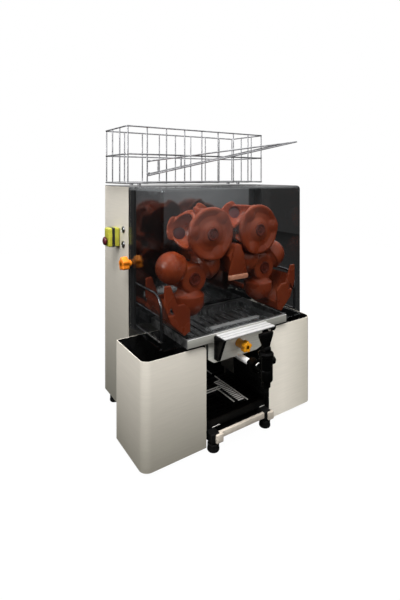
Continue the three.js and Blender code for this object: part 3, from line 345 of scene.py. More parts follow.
foot_rubber = finish_of(
    "foot_rubber", 0.004, 0.002, grain=220, roughness=0.6, relief=0.2, specular=0.2)
foot_tall, stud_round = 0.0297, 0.006
for name in ("front_left_foot", "front_right_foot", "rear_left_foot", "rear_right_foot"):
    low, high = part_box(name)
    middle, radius = (low + high) / 2, (high.x - low.x) / 2
    waist, collar = radius - 0.0006, min(high.z, foot_tall) - 0.002
    profile = [(0, 0), (radius - 0.004, 0), (radius - 0.001, 0.001), (radius, 0.003),
               (radius, 0.006), (waist, 0.0075), (waist, 0.01), (waist, collar - 0.001),
               (radius - 0.0018, collar), (stud_round, collar), (stud_round, high.z), (0, high.z)]
    new_piece(turned(bmesh.new(), profile, (middle.x, middle.y, 0), (0, 0, 1)), f"{name}_rubber",
              foot_rubber, name)

# Jug bay.
# A black pressed tray catches drips between the tubes, under a lift-out stainless grid with two
# rows of punched slots for the jug to stand on.

black_tray = finish_of(
    "black_tray", 0.003, 0.0015, grain=90, roughness=0.35, relief=0.08, specular=0.15)
dress(black_tray, "drip_tray")
# Painted shade: the grid's stainless is painted near black where the bay lies in shade.
grid_shade_steel = finish_of(
    "grid_shade_steel", (0.03, 0.028, 0.027), (0.014, 0.013, 0.012), grain=34, stretch=(1, 24, 24),
    roughness=0.38, metal=1, relief=0.08)
dress(grid_shade_steel, "jug_grid")
# Painted light: the grid's rails and slats are painted near white to stand out in the bay's shade.
rail_lit_steel = finish_of(
    "grid_rail_lit_steel", (0.9, 0.88, 0.82), (0.66, 0.64, 0.6), grain=44, stretch=(24, 1, 24),
    roughness=0.42, metal=0.3, relief=0.06)
grid_low, grid_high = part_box("jug_grid")
top, sunk, fine = grid_high.z, 0.0004, 0.0003
rail_half, rail_tall, slat_tall, bar_tall, lip_half = 0.0012, 0.0022, 0.0006, 0.0016, 0.0009
slat_count, slat_pitch, slat_start, slat_deep = 14, 0.0078, 0.026, 0.0042
rails = bmesh.new()
for x, front, back in ((0.0125, 0.027, 0.102), (0.0462, 0.016, 0.156)):
    block(rails, (x - rail_half, grid_low.y + front, top - sunk),
          (x + rail_half, grid_low.y + back, top + rail_tall), sunk)
for i in range(slat_count):
    y = grid_low.y + slat_start + i * slat_pitch
    block(rails, (0.025, y, top - sunk), (0.043, y + slat_deep, top + slat_tall), fine)
for y in (-0.0075, 0.0015):
    block(rails, (grid_low.x + 0.006, y, top - sunk), (0.0225, y + 0.0028, top + bar_tall), fine)
# Two short strips on the tray's front edge near its ends are painted glints.
for low_x, high_x in ((-0.0735, -0.0515), (0.0715, 0.0875)):
    block(rails, (low_x, grid_low.y - 0.0006, 0.0425), (high_x, grid_low.y + 0.0006, 0.0438), fine)
new_piece(rails, "grid_rails", rail_lit_steel, node="jug_grid")
lips = bmesh.new()
for side in (-1, 1):
    block(lips, (side * 0.0875 - lip_half, grid_low.y, top - 0.0005),
          (side * 0.0875 + lip_half, grid_high.y, top + 0.01), sunk)
new_piece(lips, "tray_side_lips", black_tray, node="drip_tray")

# Drive.
# Behind the front plate a geared motor turns the four shafts through steel gears on a plate with
# pillars. The electrical box and the mains inlet sit at the back.

gear_steel = finish_of(
    "gear_steel", (0.34, 0.34, 0.35), (0.22, 0.22, 0.23), grain=80, roughness=0.38, metal=1,
    relief=0.08)
shaft_steel = finish_of(
    "ground_shaft", (0.56, 0.56, 0.57), (0.46, 0.46, 0.47), stretch=(1, 12, 1), roughness=0.22,
    metal=1, relief=0.03)
motor_paint = finish_of(
    "motor_paint", (0.1, 0.11, 0.12), (0.07, 0.075, 0.08), grain=120, roughness=0.5, relief=0.15)
inlet_black = finish_of("inlet_black", 0.02, 0.012, grain=150, roughness=0.45, relief=0.1)
sides = (("left", -1), ("right", 1))
for name, _ in sides:
    dress(gear_steel, f"upper_{name}_gear", f"lower_{name}_gear", f"{name}_bearing_block")
    dress(shaft_steel, f"upper_{name}_shaft", f"lower_{name}_shaft")
dress(gear_steel, "motor_pinion")
dress(inner_steel, "gear_housing")
dress(motor_paint, "drive_motor", "control_box")
dress(inlet_black, "mains_inlet", "cover_frame")

# Drums.
# The upper pair carries open cups behind a dished front disc, the lower pair carries balls on
# necks that press into them. Each is one terracotta food-grade moulding with soft fillets.


def bar(shape, start, end, radius, sides=24):
    """A round bar between two points."""
    start, end = Vector(start), Vector(end)
    lie = (end - start).to_track_quat("Z", "Y").to_matrix().to_4x4()
    bmesh.ops.create_cone(shape, cap_ends=True, segments=sides, radius1=radius, radius2=radius,
                          depth=(end - start).length,
                          matrix=Matrix.Translation((start + end) / 2) @ lie)


def ball(shape, place, radius):
    bmesh.ops.create_icosphere(shape, subdivisions=4, radius=radius,
                               matrix=Matrix.Translation(place))


def cut(thing, tool, operation="DIFFERENCE"):
    trim = thing.modifiers.new("trim", "BOOLEAN")
    trim.operation, trim.object, trim.solver = operation, tool, "EXACT"


def baked(thing, *tools):
    """The shape of an object with its modifiers. The object and its tools are taken away."""
    mesh = bpy.data.meshes.new_from_object(thing.evaluated_get(
        bpy.context.evaluated_depsgraph_get()))
    for used in (thing, *tools):
        bpy.data.objects.remove(used)
    shape = bmesh.new()
    shape.from_mesh(mesh)
    bpy.data.meshes.remove(mesh)
    return shape


def mould(solids, hollows, envelope, grain, rounds=4):
    """Fuses overlapping solids, trims them to an envelope, cuts hollows and softens the edges."""
    def fuse(lump):
        remesh = lump.modifiers.new("fuse", "REMESH")
        remesh.mode, remesh.voxel_size = "VOXEL", grain
        return lump

    blank = fuse(welded(solids, "blank"))
    tools = []
    for shape, operation in ((envelope, "INTERSECT"), (hollows, "DIFFERENCE")):
        if shape:
            tools.append(fuse(welded(shape, "tool")))
            cut(blank, tools[-1], operation)
    fuse(blank)
    soften = blank.modifiers.new("soften", "SMOOTH")
    soften.factor, soften.iterations = 0.5, rounds
    return baked(blank, *tools)


terracotta = finish_of(
    "terracotta_moulding", (0.195, 0.035, 0.01), (0.14, 0.021, 0.006), grain=14, roughness=0.28,
    relief=0.02, spread=0.05, specular=0.4)
feed(terracotta.node_tree, terracotta.node_tree.nodes["Principled BSDF"], {
    "Subsurface Weight": 0.12, "Subsurface Radius": (0.006, 0.002, 0.001), "Coat Weight": 0.15,
    "Coat Roughness": 0.15})
# Painted shade for the deepest part of the cup pockets.
pocket_shade_brown = finish_of(
    "cup_pocket_shade_brown", (0.05, 0.008, 0.008), (0.03, 0.005, 0.005), relief=0.04)
cap_brown = finish_of(
    "hub_cap_brown", (0.1, 0.016, 0.008), (0.06, 0.01, 0.005), roughness=0.3, relief=0.04)
drum_y, station, lip = -0.0555, 0.054, 0.0705
cup_wall, cup_hollow, mouth, past_mouth = 0.049, 0.0405, 0.061, 0.09
core_round, core_start, core_end, cap_round = 0.018, 0.0115, 0.02, 0.015
trim_start, trim_end, trim_half = 0.058, 0.078, 0.038
ball_round, collar, neck = 0.0365, 0.015, 0.023
disc_front, disc_edge, disc_back = -0.1045, 0.062, -0.0105
hub_front, hub_back, hub_round = -0.0815, -0.0175, 0.034
upper_axis, lower_axis = (0.072, 0.484), (0.107, 0.381829)
cup_turn, ball_turn = math.radians(172), math.radians(150.18)
pocket_round, pocket_deep = 0.015, 0.0028
grain = 0.0016


def out_from(axis_x, axis_z, angle, reach):
    return Vector((axis_x + reach * math.cos(angle), drum_y, axis_z + reach * math.sin(angle)))


def cup_pocket(axis_x, axis_z, angle, side, depth):
    """A point along the axis of the round pocket in a cup's back wall."""
    out = Vector((math.cos(angle), 0, math.sin(angle)))
    across = Vector((-out.z, 0, out.x)) * -side
    start = out_from(axis_x, axis_z, angle, station) + Vector((0, 0.0349, 0))
    start += across * 0.0105 - out * 0.0154
    return start + (Vector((0, 0.8509, 0)) - out * 0.5203 + across * 0.0713) * depth


def corners_of(geometry):
    return [part for part in geometry if isinstance(part, bmesh.types.BMVert)]


def prism(shape, outline, reach):
    """Extrudes a flat outline by a vector, and gives back its first face and its far corners."""
    face = shape.faces.new([shape.verts.new(point) for point in outline])
    far = corners_of(bmesh.ops.extrude_face_region(shape, geom=[face])["geom"])
    bmesh.ops.translate(shape, verts=far, vec=reach)
    return face, far


def lobed(place, across, up, radius, swing, count):
    """A round outline with five lobes, in the plane of two directions."""
    angles = [math.tau * i / count for i in range(count)]
    return [place + (across * math.cos(angle) + up * math.sin(angle))
            * (radius + swing * math.cos(5 * angle)) for angle in angles]


def hub_cap(shape, place, radius):
    """A raised ring with a five-lobed bolt head in it, both on the hub's front face."""
    turned(shape, [(0, 0.003), (radius, 0.003), (radius, -0.0012), (radius - 0.001, -0.003),
                   (radius - 0.003, -0.003), (radius - 0.004, -0.001), (radius * 0.55, -0.0006),
                   (0, -0.0006)], place, (0, 1, 0))
    place = Vector(place)
    far = prism(shape, lobed(place, Vector((1, 0, 0)), Vector((0, 0, 1)), radius * 0.36,
                             radius * 0.1, 40), (0, -0.0026, 0))[1]
    bmesh.ops.scale(shape, verts=far, vec=(0.86, 1, 0.86), space=Matrix.Translation(-place))


for name, side in sides:
    x, z = side * upper_axis[0], upper_axis[1]
    first = cup_turn if side < 0 else math.pi - cup_turn
    angles = [first + math.tau * i / 3 for i in range(3)]
    solids, hollows, envelope = bmesh.new(), bmesh.new(), bmesh.new()
    turned(solids, [(0, disc_front), (0.019, disc_front + 0.0005), (0.03, disc_front + 0.005),
                    (0.042, disc_front + 0.0055), (0.053, disc_front + 0.002),
                    (0.058, disc_front + 0.0012), (disc_edge, disc_front + 0.0045),
                    (disc_edge, disc_front + 0.009), (0.05, disc_front + 0.014),
                    (0.04, drum_y), (0.04, disc_back - 0.006), (0.05, disc_back - 0.005),
                    (0.05, disc_back), (0, disc_back)], (x, 0, z), (0, 1, 0), 64)
    for angle in angles:
        ball(solids, out_from(x, z, angle, station), cup_wall)
        bar(solids, out_from(x, z, angle, station), out_from(x, z, angle, mouth), cup_wall, 48)
        ball(hollows, out_from(x, z, angle, station), cup_hollow)
        bar(hollows, out_from(x, z, angle, station), out_from(x, z, angle, past_mouth),
            cup_hollow, 48)
        bar(hollows, out_from(x, z, angle, core_start), out_from(x, z, angle, core_end),
            core_round, 32)
        bar(hollows, cup_pocket(x, z, angle, side, -0.01),
            cup_pocket(x, z, angle, side, pocket_deep), pocket_round, 32)
    trim_front, trim_back = drum_y - trim_half, drum_y + trim_half
    turned(hollows, [(trim_start, trim_front), (trim_end, trim_front), (trim_end, trim_back),
                     (trim_start, trim_back), (trim_start, trim_front)], (x, 0, z), (0, 1, 0), 64)
    turned(envelope, [(0, disc_front - 0.001), (disc_edge, disc_front - 0.001),
                      (disc_edge, disc_front + 0.0105), (lip, disc_front + 0.013), (lip, disc_back),
                      (0, disc_back)], (x, 0, z), (0, 1, 0), 96)
    new_piece(mould(solids, hollows, envelope, grain), f"upper_{name}_cup_drum", terracotta,
              f"upper_{name}_drum", crease=80)
    cap = bmesh.new()
    hub_cap(cap, (x, disc_front, z), cap_round)
    new_piece(cap, f"upper_{name}_hub_cap", cap_brown, node=f"upper_{name}_drum")
    # Dark brown pads in the pockets' round recesses are painted shade for the deepest part of each
    # cup.
    pocket_shades = bmesh.new()
    for angle in angles:
        bar(pocket_shades, cup_pocket(x, z, angle, side, pocket_deep - 0.0012),
            cup_pocket(x, z, angle, side, pocket_deep + 0.001), pocket_round - 0.0006, 32)
    new_piece(pocket_shades, f"upper_{name}_cup_pocket_shades", pocket_shade_brown, node=f"upper_{name}_drum")

    x, z = side * lower_axis[0], lower_axis[1]
    first = ball_turn if side < 0 else math.pi - ball_turn
    solids = bmesh.new()
    turned(solids, [(0, hub_front), (0.03, hub_front), (hub_round, hub_front + 0.004),
                    (hub_round, hub_back), (0, hub_back)], (x, 0, z), (0, 1, 0), 64)
    for i in range(3):
        angle = first + math.tau * i / 3
        ball(solids, out_from(x, z, angle, station), ball_round)
        bar(solids, out_from(x, z, angle, station - collar), out_from(x, z, angle, station),
            ball_round, 64)
        bar(solids, out_from(x, z, angle, 0.01), out_from(x, z, angle, station), neck, 48)
    new_piece(mould(solids, None, None, grain, 2), f"lower_{name}_ball_drum", terracotta,
              f"lower_{name}_drum", crease=80)
    cap = bmesh.new()
    hub_cap(cap, (x, hub_front - 0.0008, z), cap_round)
    new_piece(cap, f"lower_{name}_hub_cap", cap_brown, node=f"lower_{name}_drum")

# Knife and peel ejectors.
# A moulded wedge between the drums holds the steel knife that halves each orange. A curved scoop
# under each lower drum lifts the peel off the balls and lets it slide down into its bin.


def plate(shape, outline, low, high, edge=0.0, steps=2):
    """An outline in X and Z, made a plate between two depths, with its edges broken."""
    face, far = prism(shape, [(x, low, z) for x, z in outline], (0, high - low, 0))
    if edge:
        round_off(shape, edges_at([*face.verts, *far]), edge, steps)
    return shape


holder_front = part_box("knife_holder")[0].y
wedge_front, wedge_back = holder_front + 0.0025, holder_front + 0.008
blade_half, wedge_half, wedge_foot, wedge_top = 0.0011, 0.028, 0.384, 0.455
wedge_shape = bmesh.new()
plate(wedge_shape, [(-wedge_half, wedge_foot), (wedge_half, wedge_foot), (0.0105, 0.45),
                    (0.007, wedge_top), (-0.007, wedge_top), (-0.0105, 0.45)],
      wedge_front, wedge_back, 0.0018)
for side in (-1, 1):
    plate(wedge_shape, [(side * px, pz) for px, pz in (
        (blade_half, wedge_foot), (0.014, wedge_foot), (0.016, 0.402), (0.024, 0.428),
        (0.014, 0.44), (0.0055, wedge_top), (blade_half, wedge_top))],
          wedge_back - 0.0002, -0.019, 0.0004)
block(wedge_shape, (-0.014, wedge_back - 0.0002, wedge_foot), (0.014, 0.06, 0.431), 0.001)
new_piece(wedge_shape, "knife_wedge", terracotta, "knife_holder")
# The wedge's lower lip is painted lighter than the wedge: a painted highlight along its bottom
# edge.
lip_highlight = finish_of(
    "wedge_lip_highlight", (0.52, 0.25, 0.16), (0.4, 0.16, 0.09), grain=70, stretch=(1, 1, 3),
    roughness=0.25, relief=0.08)
new_piece(block(bmesh.new(), (-wedge_half, holder_front, 0.372),
                (wedge_half, wedge_back, wedge_foot - 0.0005), 0.0016),
          "knife_wedge_lip", lip_highlight, node="knife_holder")
blade_steel = finish_of(
    "blade_steel", (0.74, 0.75, 0.76), (0.62, 0.63, 0.64), grain=40, stretch=(1, 18, 1),
    roughness=0.12, metal=1, relief=0.03)
dress(blade_steel, "knife_blade")

scoop_front, scoop_back, scoop_wall, scoop_round = -0.1025, -0.0085, 0.005, 0.093
pin_x, pin_z, pin_back, pin_round = 0.156, 0.292, 0.06, 0.008
for name, side in sides:
    x, z = side * lower_axis[0], lower_axis[1]
    solids, hollows = bmesh.new(), bmesh.new()
    plate(solids, [(side * px, pz) for px, pz in (
        (0.196, 0.383), (0.196, 0.338), (0.18, 0.299), (0.147, 0.267), (0.132, 0.274),
        (0.131, 0.322), (0.147, 0.338), (0.164, 0.338), (0.181, 0.383))], scoop_front, scoop_back)
    bar(hollows, (x, scoop_front + scoop_wall, z), (x, scoop_back - scoop_wall, z), scoop_round, 96)
    plate(hollows, [(side * 0.18, 0.335), (side * 0.172, 0.318), (side * 0.188, 0.318)],
          scoop_front - 0.004, scoop_front + 0.006)
    scoop = mould(solids, hollows, None, grain * 0.9, 3)
    pin = side * pin_x
    bar(scoop, (pin, scoop_back - 0.003, pin_z), (pin, pin_back, pin_z), pin_round)
    new_piece(scoop, f"{name}_peel_scoop", terracotta, f"{name}_ejector", crease=80)

# Peel guards.
# One chromed rod on each side leaves the front plate, bends down behind the cover and comes back,
# so that hands and cloths stay away from the ejectors. A straight rod stiffens it.


def bent_route(points, bend, steps=8):
    """Replaces the inner corners of a route by arcs."""
    route = [Vector(points[0])]
    for before, corner, after in zip(points, points[1:], points[2:]):
        corner = Vector(corner)
        back, on = (Vector(before) - corner).normalized(), (Vector(after) - corner).normalized()
        half = back.angle(on) / 2
        reach, spread = bend / math.tan(half), math.pi / 2 - half
        middle = (back + on).normalized()
        centre = corner + middle * bend / math.sin(half)
        across = (on - back).normalized()
        for i in range(steps + 1):
            angle = spread * (2 * i / steps - 1)
            route.append(centre - middle * bend * math.cos(angle)
                         + across * bend * math.sin(angle))
    route.append(Vector(points[-1]))
    return route


def rod(shape, route, radius, sides=12):
    """A round rod along a route: a ring is extruded from point to point, and both ends closed."""
    route = [Vector(point) for point in route]
    runs = [(b - a).normalized() for a, b in zip(route, route[1:])]
    facing = [runs[0]] + [(a + b).normalized() for a, b in zip(runs, runs[1:])] + [runs[-1]]
    lie = facing[0].to_track_quat("Z", "Y").to_matrix().to_4x4()
    ring = bmesh.ops.create_circle(shape, cap_ends=True, segments=sides, radius=radius,
                                   matrix=Matrix.Translation(route[0]) @ lie)["verts"]
    lines = edges_at(ring)
    for i in range(1, len(route)):
        fresh = bmesh.ops.extrude_edge_only(shape, edges=lines)["geom"]
        ring = corners_of(fresh)
        lines = [line for line in fresh if isinstance(line, bmesh.types.BMEdge)
                 and all(corner in ring for corner in line.verts)]
        bmesh.ops.translate(shape, verts=ring, vec=route[i] - route[i - 1])
        turn = facing[i - 1].rotation_difference(facing[i]).to_matrix()
        bmesh.ops.rotate(shape, verts=ring, cent=route[i], matrix=turn)
    bmesh.ops.contextual_create(shape, geom=lines)


chrome = finish_of(
    "chromed_wire", (0.62, 0.62, 0.64), (0.3, 0.3, 0.31), roughness=0.2, metal=0.85, relief=0.02,
    spread=0.08)
# Painted shade: the guards' chrome is a darker copy of the basket's chrome.
guard_shade_chrome = finish_of(
    "guard_shade_chrome", (0.4, 0.4, 0.42), (0.12, 0.12, 0.13), roughness=0.16, metal=1, relief=0.02,
    spread=0.06)
guard_front, guard_back, guard_high, guard_low = -0.0965, 0.032, 0.362, 0.262
guard_reach, guard_knee, guard_bend, guard_round = 0.2008, 0.3, 0.034, 0.003
stay_z, stay_round = 0.316, 0.0024
for name, side in sides:
    x = side * guard_reach
    # The knee stands in for the upper bend's last point.
    upper = bent_route([(x, guard_back, guard_high), (x, guard_front, guard_high),
                        (x, guard_front, guard_knee)], guard_bend)[:-2]
    lower = bent_route([(x, guard_front, guard_knee), (x, guard_front, guard_low),
                        (x, guard_back, guard_low)], 0.006, 5)
    guard_shape = bmesh.new()
    rod(guard_shape, upper + lower, guard_round)
    rod(guard_shape, [(x, guard_front + 0.001, stay_z), (x, guard_back, stay_z)], stay_round)
    new_piece(guard_shape, f"{name}_chromed_guard", guard_shade_chrome, f"{name}_peel_guard")

# Clear cover.
# One vacuum-formed polycarbonate hood, 3 mm thick, with rounded corners, open at the back and
# below. It has an infeed hole in its roof and hangs on two orange star knobs.

clear_plastic = bpy.data.materials.new("clear_polycarbonate")
clear_plastic.use_nodes = True
clear = clear_plastic.node_tree
wave = add_node(clear, "TexNoise", {"Vector": own_place(clear), "Scale": 7, "Detail": 3})["Fac"]
swell = add_node(clear, "Bump", {"Height": wave, "Strength": 0.25, "Distance": 0.01})["Normal"]
slant = add_node(clear, "LayerWeight", {"Blend": 0.35})["Facing"]
feed(clear, clear.nodes["Principled BSDF"], {
    "Base Color": (0.36, 0.38, 0.39, 1), "Metallic": 1, "Roughness": 0.06, "Normal": swell,
    "Alpha": ramp(clear, slant, 0.25, 1, 0.1, 0.75)})


def thicken(thing, sheet):
    wall = thing.modifiers.new("wall", "SOLIDIFY")
    wall.thickness, wall.offset, wall.use_even_offset = sheet, -1, True


hood_low, hood_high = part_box("clear_cover")
hood_round, hood_sheet, past = 0.009, 0.003, 0.012
tank_half, tank_top = 0.152, 0.2655
infeed_half, infeed_front, infeed_back, infeed_round = 0.048, -0.0975, -0.0115, 0.016
slot_at, slot_half, slot_front, slot_low, slot_high = 0.206, 0.008, 0.0405, 0.401, 0.413
hood_shape = bmesh.new()
block(hood_shape, hood_low, hood_high)
open_faces = [face for face in hood_shape.faces if face.normal.y > 0.9 or face.normal.z < -0.9]
bmesh.ops.delete(hood_shape, geom=open_faces, context="FACES")
folds = [line for line in hood_shape.edges if len(line.link_faces) == 2]
round_off(hood_shape, folds, hood_round, 8)
bmesh.ops.recalc_face_normals(hood_shape, faces=hood_shape.faces)
hood = loose(hood_shape, "hood")
thicken(hood, hood_sheet)
cutters = bmesh.new()
block(cutters, (-infeed_half, infeed_front, hood_high.z - past),
      (infeed_half, infeed_back, hood_high.z + past))
upright = [line for line in cutters.edges
           if abs(line.verts[0].co.z - line.verts[1].co.z) > past]
round_off(cutters, upright, infeed_round, 6)
block(cutters, (-tank_half, hood_low.y - past, hood_low.z - past),
      (tank_half, hood_low.y + past, tank_top))
for side in (-1, 1):
    block(cutters, (side * slot_at - slot_half, slot_front, slot_low),
          (side * slot_at + slot_half, hood_high.y + past, slot_high))
cutter = loose(cutters, "cutter")
cut(hood, cutter)
new_piece(baked(hood, cutter), "clear_hood", clear_plastic, "clear_cover", crease=30)

orange_plastic = finish_of(
    "orange_knob_plastic", (0.78, 0.23, 0.014), (0.62, 0.16, 0.01), grain=80, roughness=0.3,
    relief=0.03)


def star_knob(shape, place, axis, radius, length, boss, boss_length, stud_length, stud=0.004):
    """A five-lobed grip on a round boss, with its threaded stud behind it."""
    axis, place = Vector(axis), Vector(place)
    one = axis.orthogonal().normalized()
    two = axis.cross(one)
    outline = lobed(place, one, two, radius * 0.88, radius * 0.12, 50)
    prism(shape, outline, axis * length)
    rims = [line for line in shape.edges if len(line.link_faces) == 2
            and line.calc_face_angle(0) > 1]
    round_off(shape, rims, 0.0022, 3)
    turned(shape, [(0, length - 0.001), (radius * 0.42, length - 0.001),
                   (radius * 0.4, length - 0.0002), (radius * 0.3, length), (0, length)],
           place, axis, 24)
    turned(shape, [(0, 0.002), (boss, 0.002), (boss, 0.001 - boss_length),
                   (boss - 0.001, -boss_length), (0, -boss_length)], place, axis, 24)
    turned(shape, [(0, 0), (stud, 0), (stud, -stud_length), (0, -stud_length)], place, axis, 16)


knob_x, knob_y, knob_z = 0.2163, 0.0455, 0.408
for name, side in sides:
    knob_shape = bmesh.new()
    star_knob(knob_shape, (side * knob_x, knob_y, knob_z), (side, 0, 0), radius=0.0165,
              length=0.017, boss=0.008, boss_length=0.008, stud_length=0.0163)
    new_piece(knob_shape, f"{name}_star_knob", orange_plastic, f"{name}_cover_knob")

# Juice tank and strainer.
# A welded stainless tank slides in on two runners. Its front bar shows under the cover, and its
# well carries the juice to the outlet. A pressed strainer pan lies in it.

tank_steel = finish_of(
    "tank_bar_steel", (0.38, 0.375, 0.335), (0.29, 0.285, 0.255), grain=22, stretch=(1, 26, 26),
    roughness=0.36, metal=0.35)
dark_steel = finish_of(
    "polished_tank_steel", 0.32, 0.02, grain=16, stretch=(1, 4, 4), roughness=0.3, metal=0.6,
    relief=0.03, spread=0.06)
# Near white: a painted highlight for the tank bar's top edge.
edge_highlight_steel = finish_of(
    "tank_bar_edge_highlight_steel", (0.95, 0.94, 0.92), (0.7, 0.69, 0.67), grain=30, stretch=(1, 20, 20),
    roughness=0.25, metal=0.2, relief=0.03)
# Painted light: the apron's steel is far lighter than the tank bar's, where it stands in the shade
# under the ledge.
apron_lit_steel = finish_of(
    "tank_apron_lit_steel", (0.9, 0.89, 0.8), (0.72, 0.71, 0.63), grain=22, stretch=(1, 26, 26),
    roughness=0.36, metal=0.2)
pan_steel = finish_of(
    "strainer_steel", (0.36, 0.37, 0.37), 0.015, grain=30, stretch=(8, 1, 1), roughness=0.25,
    metal=0.7, relief=0.06)
dress(dark_steel, "juice_tank")
bar_low, bar_high, strip_z = Vector((-0.149, -0.1176, 0.2443)), (0.149, -0.1165, 0.263), 0.2618
new_piece(block(bmesh.new(), bar_low, (bar_high[0], bar_high[1], strip_z), fine), "tank_bar_face",
          tank_steel, node="juice_tank")
# The bar's top edge is a separate near-white strip: a painted highlight.
new_piece(block(bmesh.new(), (bar_low.x, bar_low.y - 0.0001, strip_z), bar_high, fine),
          "tank_bar_edge", edge_highlight_steel, node="juice_tank")
apron_top, apron_y, apron_slit = bar_low.z, -0.1085, 0.0001
boss_z, boss_hole = 0.222, 0.0104
apron_outline = [(apron_slit, apron_top), (0.074, apron_top), (0.074, 0.199), (0.055, 0.192),
                 (-0.072, 0.192), (-0.088, 0.203), (-0.088, apron_top), (-apron_slit, apron_top)]
for angle in [math.radians(91 + 358 * i / 32) for i in range(33)]:
    apron_outline.append((boss_hole * math.cos(angle), boss_z + boss_hole * math.sin(angle)))
new_piece(plate(bmesh.new(), apron_outline, apron_y, apron_y + 0.0012), "tank_front_apron",
          apron_lit_steel, node="juice_tank")
dress(pan_steel, "strainer")
pan_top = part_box("strainer")[1].z
satin_strip = finish_of(
    "satin_strip", 0.42, 0.3, grain=30, stretch=(1, 20, 20), roughness=0.35, metal=0.4)
new_piece(block(bmesh.new(), (-0.063, -0.0865, pan_top - 0.002), (0.086, -0.0745, pan_top + 0.0012),
                0.0008), "strainer_grip_bar", satin_strip, node="strainer")

# Outlet and tap.
# A polished tube leaves the tank and carries a black moulded tap: a barrel with a nut on the tube,
# a side bonnet, a spout below and a fan-shaped lever above.

pipe_low, pipe_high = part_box("outlet_pipe")
pipe_z, pipe_round = (pipe_low.z + pipe_high.z) / 2, (pipe_high.z - pipe_low.z) / 2
pipe_bore = pipe_round - 0.0015
# Painted sheen: near white and mostly diffuse, standing for the tube's bright reflections in the
# shaded bay.
outlet_sheen_steel = finish_of(
    "outlet_sheen_steel", (1.0, 0.99, 0.97), (0.8, 0.78, 0.77), grain=30, stretch=(1, 0.2, 1),
    roughness=0.2, metal=0.15, relief=0.02, spread=0.08)
new_piece(turned(bmesh.new(), [(pipe_bore, pipe_low.y), (pipe_round, pipe_low.y),
                               (pipe_round, pipe_high.y), (pipe_bore, pipe_high.y),
                               (pipe_bore, pipe_low.y)], (0, 0, pipe_z), (0, 1, 0)),
          "polished_outlet", outlet_sheen_steel, "outlet_pipe")

tap_black = finish_of(
    "tap_black", 0.0015, 0.0008, grain=120, roughness=0.25, spread=0.06, specular=0.1)
tap_y = -0.2015
tap_shape = bmesh.new()
turned(tap_shape, [(0, 0.158), (0.0072, 0.158), (0.0088, 0.158), (0.01, 0.1595), (0.01, 0.17),
                   (0.0135, 0.172), (0.015, 0.175), (0.015, 0.196), (0.0142, 0.1975),
                   (0.015, 0.199), (0.015, 0.224), (0.017, 0.2265), (0.017, 0.2315),
                   (0.0155, 0.2335), (0.0135, 0.235), (0, 0.235)], (0, tap_y, 0), (0, 0, 1), 36)
nut_round, nut_front, nut_back = 0.016, -0.1718, pipe_low.y - 0.0003
bmesh.ops.create_cone(tap_shape, cap_ends=True, segments=6, radius1=nut_round, radius2=nut_round,
                      depth=nut_back - nut_front,
                      matrix=Matrix.Translation((0, (nut_front + nut_back) / 2, pipe_z))
                      @ Matrix.Rotation(math.pi / 2, 4, "X"))
turned(tap_shape, [(0, tap_y), (0.01, tap_y), (0.01, nut_front), (0.0125, nut_front + 0.001),
                   (0.0125, nut_front + 0.003), (0, nut_front + 0.003)], (0, 0, pipe_z),
       (0, 1, 0), 28)
turned(tap_shape, [(0, 0), (0.0082, 0.01), (0.009, 0.0145), (0.009, 0.0215), (0.0075, 0.0235),
                   (0.0035, 0.024), (0, 0.024)], (0, tap_y, 0.212), (1, 0, 0), 28)
new_piece(tap_shape, "moulded_tap", tap_black, "tap_body")
# A thin bright arc over the top of the tap's neck is a painted glint, not a part.
glint_round, glint_y, glint_wire = 0.0108, -0.1785, 0.0012
glint_angles = [math.radians(degrees) for degrees in range(50, 150, 10)]
tap_glint = bmesh.new()
rod(tap_glint, [(glint_round * math.cos(angle), glint_y, pipe_z + glint_round * math.sin(angle))
               for angle in glint_angles], glint_wire)
new_piece(tap_glint, "tap_neck_glint", outlet_sheen_steel, node="tap_body")

pivot_z, lever_half, rib_low, rib_step, rib_tall = 0.24, 0.004, 0.26, 0.0036, 0.0016
lever_shape = bmesh.new()
plate(lever_shape, [(-0.0085, pivot_z), (0.0085, pivot_z), (0.0105, 0.25), (0.0185, 0.2685),
                    (0.0195, 0.2745), (0.018, 0.2765), (-0.018, 0.2765), (-0.0195, 0.2745),
                    (-0.0185, 0.2685), (-0.0105, 0.25)],
      tap_y - lever_half, tap_y + lever_half, 0.0012)
for i in range(4):
    z = rib_low + rib_step * i
    block(lever_shape, (-0.0125, tap_y - 0.0045, z), (0.0125, tap_y + 0.0045, z + rib_tall), fine)
bar(lever_shape, (-0.009, tap_y, pivot_z), (0.009, tap_y, pivot_z), 0.007, 28)
new_piece(lever_shape, "fan_lever", tap_black, "tap_lever")

# Ledge.
# A white ribbed rest of moulded plastic in front of the cover, on a black folded bracket that
# hooks over the tank's front bar.

white_plastic = finish_of("ledge_white", (0.42, 0.415, 0.41), (0.37, 0.365, 0.36), relief=0.02)
# Painted shade: the plate between the ribs is painted darker than the ribs, for the grooves.
groove_shade_white = finish_of(
    "ledge_groove_shade_white", (0.25, 0.247, 0.243), (0.21, 0.208, 0.205), relief=0.02)
ledge_low, ledge_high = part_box("ledge")
new_piece(block(bmesh.new(), ledge_low, (ledge_high.x, ledge_high.y, ledge_high.z - 0.001), 0.0005),
          "white_ledge_plate", groove_shade_white, "ledge")
rib_count, gap_share, rib_share = 3, 0.15, 0.66
rib_pitch = (ledge_high.y - ledge_low.y) / rib_count
ribs_shape = bmesh.new()
for i in range(rib_count):
    y = ledge_low.y + (i + gap_share) * rib_pitch
    block(ribs_shape, (ledge_low.x, y, ledge_low.z + 0.0008),
          (ledge_high.x, y + rib_pitch * rib_share, ledge_high.z), 0.0009)
new_piece(ribs_shape, "white_ledge_ribs", white_plastic, node="ledge")
bracket_low, bracket_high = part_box("ledge_bracket")
leg, legs = 0.008, ((-1, bracket_low.z, 0.014), (1, 0.247, 0.03))
bracket_shape = bmesh.new()
